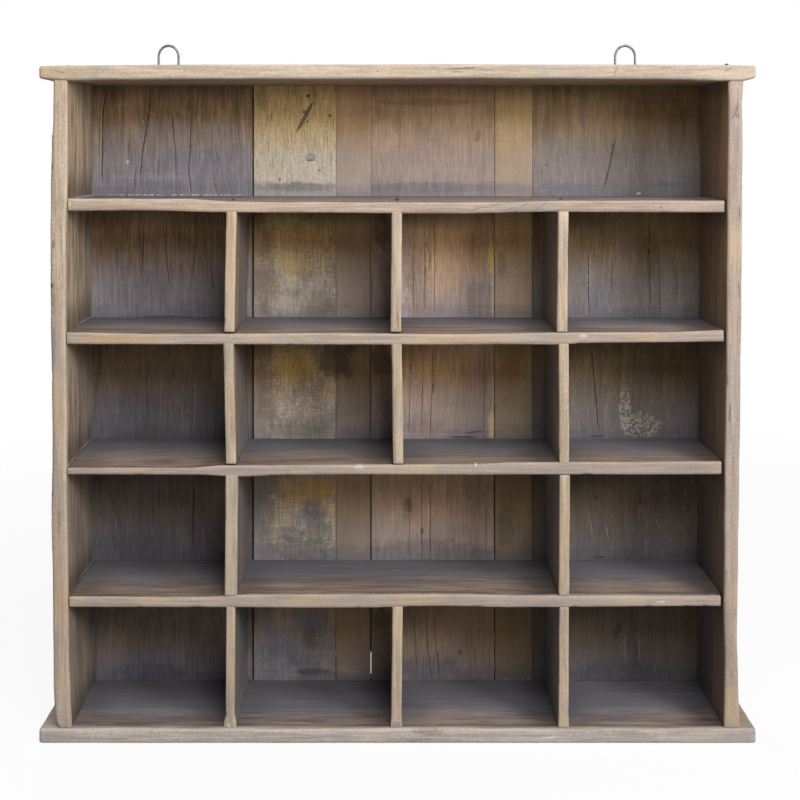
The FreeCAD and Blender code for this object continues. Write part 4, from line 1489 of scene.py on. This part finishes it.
    def _plank(self, name: str, finish: PlankWood, joints: Sequence[Joint | None], seed: float) -> None:
        """One plank, with its marks, its hollow face and its joints with the next planks."""
        board = Board(name, (1.5, 2.4, 2.5), rounding=0.3, segments=2)
        made = board.shape()
        self._groove(made, board, self.cracks.get(name, ()), "crack", spread=1.25)
        self._groove(made, board, self.scratches.get(name, ()), "scratch", spread=1.7)
        dents = [spot for spot in finish.spots if spot.depth]

        def move(place: Vector) -> Vector:
            """Hollows, dents, rough faces and edges."""
            step = Vector((self.lean.behind(place), 0.0, 0.0))
            left, right = place.x - board.low.x, board.high.x - place.x
            joint = joints[0] if left < right else joints[1]
            if joint is not None and min(left, right) < 0.5:
                crooked = wander(Vector((0.0, seed, place.z)), 34.0, seed) * 0.12
                step.x += (joint.outward(place) + crooked) * (-1.0 if left < right else 1.0)
            step.y = wander(Vector((place.x, 0.0, place.z / 4)), 24.0, seed) * 0.22
            step.y += wander(Vector((place.x, 0.0, place.z / 10)), 3.0, seed + 1) * 0.08
            if place.y < board.low.y + 2.0:
                step.y += sum(dent.depth * smooth(dent.far(place), 1.2, 0.6) for dent in dents)
            return step

        board.bend(made, move)

        def outer(place: Vector, normal: Vector) -> float:
            """The face that looks to the wall, and the edges."""
            return smooth(normal.y, -0.85, -0.4)

        board.paint(made, "outer", outer)
        self.workshop.hand_in(board.to_metres(made), f"{name}_wood", [name], "shelf", "plank_wood",
                              finish.material())

    @staticmethod
    def _groove(made: bmesh.types.BMesh, board: Board, marks: Iterable[Mark], layer_name: str,
                spread: float) -> None:
        """Cuts marks into a plank's face: each row's nearest points close in on the mark, and one goes in."""
        shortest = 8
        layer = made.verts.layers.float[layer_name]
        rows: dict[float, list[bmesh.types.BMVert]] = {}
        for vert in made.verts:
            if vert.co.y < board.low.y + 0.01:
                rows.setdefault(round(vert.co.z, 2), []).append(vert)
        rows = {height: sorted(row, key=lambda vert: vert.co.x)
                for height, row in rows.items() if len(row) > shortest}
        for number, mark in enumerate(marks):
            line = []
            for height in sorted(rows, reverse=True):
                found = mark.across(height)
                if found is None:
                    continue
                across, strength = found
                across += wander(Vector((0.0, 7.0 * number, height)), 14.0, 1.0) * 0.45
                row = rows[height]
                spot = min(range(1, len(row) - 1), key=lambda index: abs(row[index].co.x - across))
                before, here, after = row[spot - 1:spot + 2]
                here.co.x = across
                here.co.y += mark.depth * strength
                here[layer] = max(here[layer], strength)
                line.append(here)
                half = spread * mark.width * (0.4 + 0.6 * strength)
                for side, vert in ((-1.0, before), (1.0, after)):
                    if vert[layer] == 0.0:
                        vert.co.x = across + side * half
            bmesh.ops.connect_verts(made, verts=line)


@dataclass
class Nails:
    """Wire nails and panel pins: hammered heads a little proud, made where the frame's nails are."""

    workshop: Workshop
    lean: Lean
    proud: dict[str, float] = field(default_factory=lambda: {
        "top_nails": 0.35, "bottom_nails": -0.6, "left_side_nails": 0.35, "right_side_nails": 0.35,
        "divider_nails": 0.35, "back_nails": 0.35})
    outline: tuple[Point, ...] = ((0.0, 0.25), (0.55, 0.22), (0.86, 0.05), (1.0, -0.18), (0.96, -0.5),
                                  (0.5, -0.55))

    # How far out the heads in the sides are and between which heights, in m
    SIDE_HEADS = 0.343
    SIDE_SPAN = (0.02, 0.66)

    def build(self) -> None:
        """Builds one piece for each of the frame's groups of nails."""
        iron = Metal("nail_iron", tone(122, 116, 110), tone(70, 64, 60), tone(88, 56, 38), rust_share=0.75,
                     roughness=0.55).material()
        for name, proud in self.proud.items():
            made = bmesh.new()
            for head, into, radius, length in self._found(name):
                self._nail(made, head - into * proud * MM, into, radius, length)
            self.workshop.hand_in(made, f"{name}_iron", [name], "shelf", "nail_iron", iron, soft_angle=35.0)

    def _found(self, name: str) -> list[tuple[Vector, Vector, float, float]]:
        """Each nail of a group: its head's place, its direction, its head's radius and its length, in m."""
        copy = bmesh.new()
        copy.from_mesh(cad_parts[name].data)
        bmesh.ops.remove_doubles(copy, verts=copy.verts, dist=1e-6)
        left = set(copy.verts)
        nails = []
        while left:
            reached = {left.pop()}
            self._spread(reached)
            left -= reached
            nails.append(self._measured([vert.co.copy() for vert in reached]))
        copy.free()
        return sorted(nails, key=lambda nail: tuple(round(value, 4) for value in nail[0]))

    @staticmethod
    def _spread(reached: set[bmesh.types.BMVert]) -> None:
        """Adds every point that edges join to some points."""
        edge = list(reached)
        while edge:
            vert = edge.pop()
            for link in vert.link_edges:
                other = link.other_vert(vert)
                if other not in reached:
                    reached.add(other)
                    edge.append(other)

    @staticmethod
    def _measured(points: list[Vector]) -> tuple[Vector, Vector, float, float]:
        """A nail's head, direction, head radius and length from its points."""
        low = Vector([min(point[axis] for point in points) for axis in range(3)])
        high = Vector([max(point[axis] for point in points) for axis in range(3)])
        size = high - low
        axis = max(range(3), key=lambda number: size[number])
        middle = (low + high) / 2
        cross = (axis + 1) % 3

        def reach(end: float) -> float:
            """How wide the nail is at one of its ends."""
            return max(abs(point[cross] - middle[cross]) for point in points
                       if abs(point[axis] - end) < 2e-4)

        head = middle.copy()
        into = Vector((0.0, 0.0, 0.0))
        if reach(high[axis]) > reach(low[axis]):
            head[axis] = high[axis]
            into[axis] = -1.0
        else:
            head[axis] = low[axis]
            into[axis] = 1.0
        return head, into, size[cross] / 2, size[axis]

    def _nail(self, made: bmesh.types.BMesh, head: Vector, into: Vector, radius: float,
              length: float) -> None:
        """Spins one nail and puts it in its place."""
        rings = [(r * radius, h * radius) for r, h in self.outline]
        rings += [(0.5 * radius, -length + 1.5 * radius), (0.0, -length)]
        verts = [made.verts.new((r, 0.0, h)) for r, h in rings]
        edges = [made.edges.new(pair) for pair in zip(verts, verts[1:])]
        bmesh.ops.spin(made, geom=verts + edges, cent=(0, 0, 0), axis=(0, 0, 1), angle=math.tau, steps=12,
                       use_merge=True)
        fresh = set(verts)
        self._spread(fresh)
        bmesh.ops.remove_doubles(made, verts=list(fresh), dist=1e-7)
        kept = [vert for vert in fresh if vert.is_valid]
        faces = list({face for vert in kept for face in vert.link_faces})
        bmesh.ops.recalc_face_normals(made, faces=faces)
        turn = Vector((0.0, 0.0, -1.0)).rotation_difference(into).to_matrix().to_4x4()
        bmesh.ops.transform(made, matrix=Matrix.Translation(head + self._shift(head)) @ turn, verts=kept)

    def _shift(self, head: Vector) -> Vector:
        """How far a nail in a side moves with the side's lean."""
        low, high = self.SIDE_SPAN
        if abs(head.x) < self.SIDE_HEADS or not low < head.z < high:
            return Vector((0.0, 0.0, 0.0))
        name = "left" if head.x < 0 else "right"
        return Vector((self.lean.at_side(name, 1.0, head.z / MM) * MM, 0.0, 0.0))


@dataclass
class Hangers:
    """The two wire rings in their straps at the back of the top board."""

    workshop: Workshop
    pivot: float = 687.0
    stretch: float = 1.14

    def build(self) -> None:
        """Gives the frame's straps and screws their finishes, and draws the rings out a little."""
        strap = Metal("strap_steel", tone(132, 130, 126), tone(88, 86, 84), tone(96, 66, 46),
                      rust_share=0.3, roughness=0.5).material()
        screw = Metal("screw_steel", tone(150, 146, 138), tone(100, 96, 90), tone(96, 66, 46),
                      rust_share=0.3, roughness=0.42).material()
        wire = Metal("ring_steel", tone(138, 140, 146), tone(104, 106, 112), tone(86, 66, 50),
                     rust_share=0.05, roughness=0.52).material()
        for side in ("left", "right"):
            for kind, material in (("strap", strap), ("screw", screw)):
                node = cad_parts[f"{side}_hanger_{kind}"]
                node.data.materials.clear()
                node.data.materials.append(material)
                LOG.info("%s keeps its solid", node.name)
            self._ring(side, wire)

    def _ring(self, side: str, material: bpy.types.Material) -> None:
        """A ring that is a little longer than it is wide."""
        name = f"{side}_hanger_ring"
        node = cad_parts[name]
        made = bmesh.new()
        made.from_mesh(node.data)
        bmesh.ops.transform(made, matrix=node.matrix_world, verts=made.verts)
        bmesh.ops.remove_doubles(made, verts=made.verts, dist=1e-6)
        pivot = self.pivot * MM
        for vert in made.verts:
            vert.co.z = pivot + (vert.co.z - pivot) * (self.stretch if vert.co.z > pivot else 1.0)
        self.workshop.hand_in(made, f"{name}_wire", [name], f"{side}_ring", "ring_steel", material,
                              soft_angle=50.0)


@dataclass(frozen=True)
class Lamp:
    """A square soft light: its place in m, its size in m and its power in W."""

    name: str
    place: tuple[float, float, float]
    size: float
    power: float


@dataclass
class Studio:
    """The pale floor, the lights and the camera."""

    lamps: tuple[Lamp, ...] = (
        Lamp("key", (0.42, -1.60, 1.50), 0.75, 13.3),
        Lamp("right", (1.40, -1.20, 1.00), 0.60, 17.1),
        Lamp("above", (0.10, -0.90, 2.00), 0.80, 15.5),
        Lamp("rear", (-0.80, 1.70, 1.30), 1.00, 16.0),
    )
    target: tuple[float, float, float] = (0.0, 0.0, 0.35)
    fill: float = 0.03
    white_share: float = 0.9
    white_span: Point = (700.0, 1700.0)
    floor_size: float = 40.0
    floor_drop: float = 0.0004
    paper: Colour = (0.40, 0.39, 0.38)
    white: Colour = (1.0, 1.0, 1.0)

    def build(self) -> None:
        """Sets up the studio."""
        self._floor()
        for lamp in self.lamps:
            self._light(lamp)
        self._world()
        self._camera()
        bpy.context.scene.view_settings.view_transform = "Standard"

    def _floor(self) -> None:
        """A wide pale floor, white to the camera but for a faint shadow."""
        made = bmesh.new()
        bmesh.ops.create_grid(made, x_segments=8, y_segments=8, size=self.floor_size)
        bmesh.ops.translate(made, vec=(0.0, 0.0, -self.floor_drop), verts=made.verts)
        mesh = bpy.data.meshes.new("floor")
        made.to_mesh(mesh)
        made.free()
        floor = bpy.data.objects.new("floor", mesh)
        bpy.context.scene.collection.objects.link(floor)
        maker = Maker("floor_paper")
        x, y, _ = maker.axes()
        away = ((x * x + y * y) ** 0.5).rise(*self.white_span)
        seen = self._seen(maker)
        pale = maker.mix(self.paper, self.white, seen)
        paper = maker.node("ShaderNodeBsdfDiffuse", None, {"Color": pale})
        glow = maker.node("ShaderNodeEmission", None, {"Color": self.white, "Strength": 1.0})
        share = seen * (away * (1.0 - self.white_share) + self.white_share)
        both = maker.node("ShaderNodeMixShader", None, {0: share, 1: paper.outputs[0], 2: glow.outputs[0]})
        maker.node("ShaderNodeOutputMaterial", None, {0: both.outputs[0]})
        mesh.materials.append(maker.owner)
        LOG.info("floor")

    def _light(self, lamp: Lamp) -> None:
        """A soft light that looks at the shelf."""
        data = bpy.data.lights.new(lamp.name, "AREA")
        data.shape = "SQUARE"
        data.size = lamp.size
        data.energy = lamp.power
        light = bpy.data.objects.new(lamp.name, data)
        light.location = lamp.place
        towards = Vector(self.target) - Vector(lamp.place)
        light.rotation_euler = towards.to_track_quat("-Z", "Y").to_euler()
        bpy.context.scene.collection.objects.link(light)
        LOG.info("light %s", lamp.name)

    def _world(self) -> None:
        """White to the camera, and a soft fill to the object."""
        maker = Maker("studio", world=True)
        bpy.context.scene.world = maker.owner
        fill = maker.node("ShaderNodeBackground", None,
                          {"Color": (1.0, 0.985, 0.965), "Strength": self.fill})
        white = maker.node("ShaderNodeBackground", None, {"Color": self.white, "Strength": 1.0})
        both = maker.node("ShaderNodeMixShader", None,
                          {0: self._seen(maker), 1: fill.outputs[0], 2: white.outputs[0]})
        maker.node("ShaderNodeOutputWorld", None, {0: both.outputs[0]})
        LOG.info("world")

    @staticmethod
    def _seen(maker: Maker) -> Signal:
        """What the camera looks at, straight or by way of a reflection or a clear thing."""
        path = maker.node("ShaderNodeLightPath").outputs
        seen = maker.signal(path["Is Camera Ray"]).most(maker.signal(path["Is Glossy Ray"]))
        return seen.most(maker.signal(path["Is Transmission Ray"]))

    @staticmethod
    def _camera() -> None:
        """The photograph's camera: level, on a stand that shifts its frame down to the shelf.

        The shift is the stand's, so the camera looks straight ahead when another view takes it off the stand.
        """
        data = bpy.data.cameras.new("camera")
        data.sensor_width = 36.0
        aside = (IMAGE / 2 - VANISHING) / FOCUS
        down = (HORIZON - IMAGE / 2) / FOCUS
        data.lens = data.sensor_width * FOCUS / IMAGE * math.sqrt(1.0 + aside * aside + down * down)
        data.clip_end = 50.0
        stand = bpy.data.objects.new("camera_stand", None)
        stand.location = EYE * MM
        camera = bpy.data.objects.new("camera", data)
        camera.rotation_euler = (math.radians(90.0), 0.0, 0.0)
        camera.parent = stand
        camera.matrix_parent_inverse = Matrix(((1.0, aside, 0.0, 0.0), (0.0, 1.0, 0.0, 0.0),
                                               (0.0, down, 1.0, 0.0), (0.0, 0.0, 0.0, 1.0)))
        for item in (stand, camera):
            bpy.context.scene.collection.objects.link(item)
        bpy.context.scene.camera = camera
        LOG.info("camera")


def main() -> None:
    """Builds the studio and the shelf."""
    logging.basicConfig(level=logging.INFO, format="%(name)s: %(message)s")
    Studio().build()
    workshop = Workshop()
    lean = Lean()
    Case(workshop, lean).build()
    Shelves(workshop, lean).build()
    Dividers(workshop).build()
    BackPlanks(workshop, lean).build()
    Nails(workshop, lean).build()
    Hangers(workshop).build()


if __name__ == "__main__":
    main()
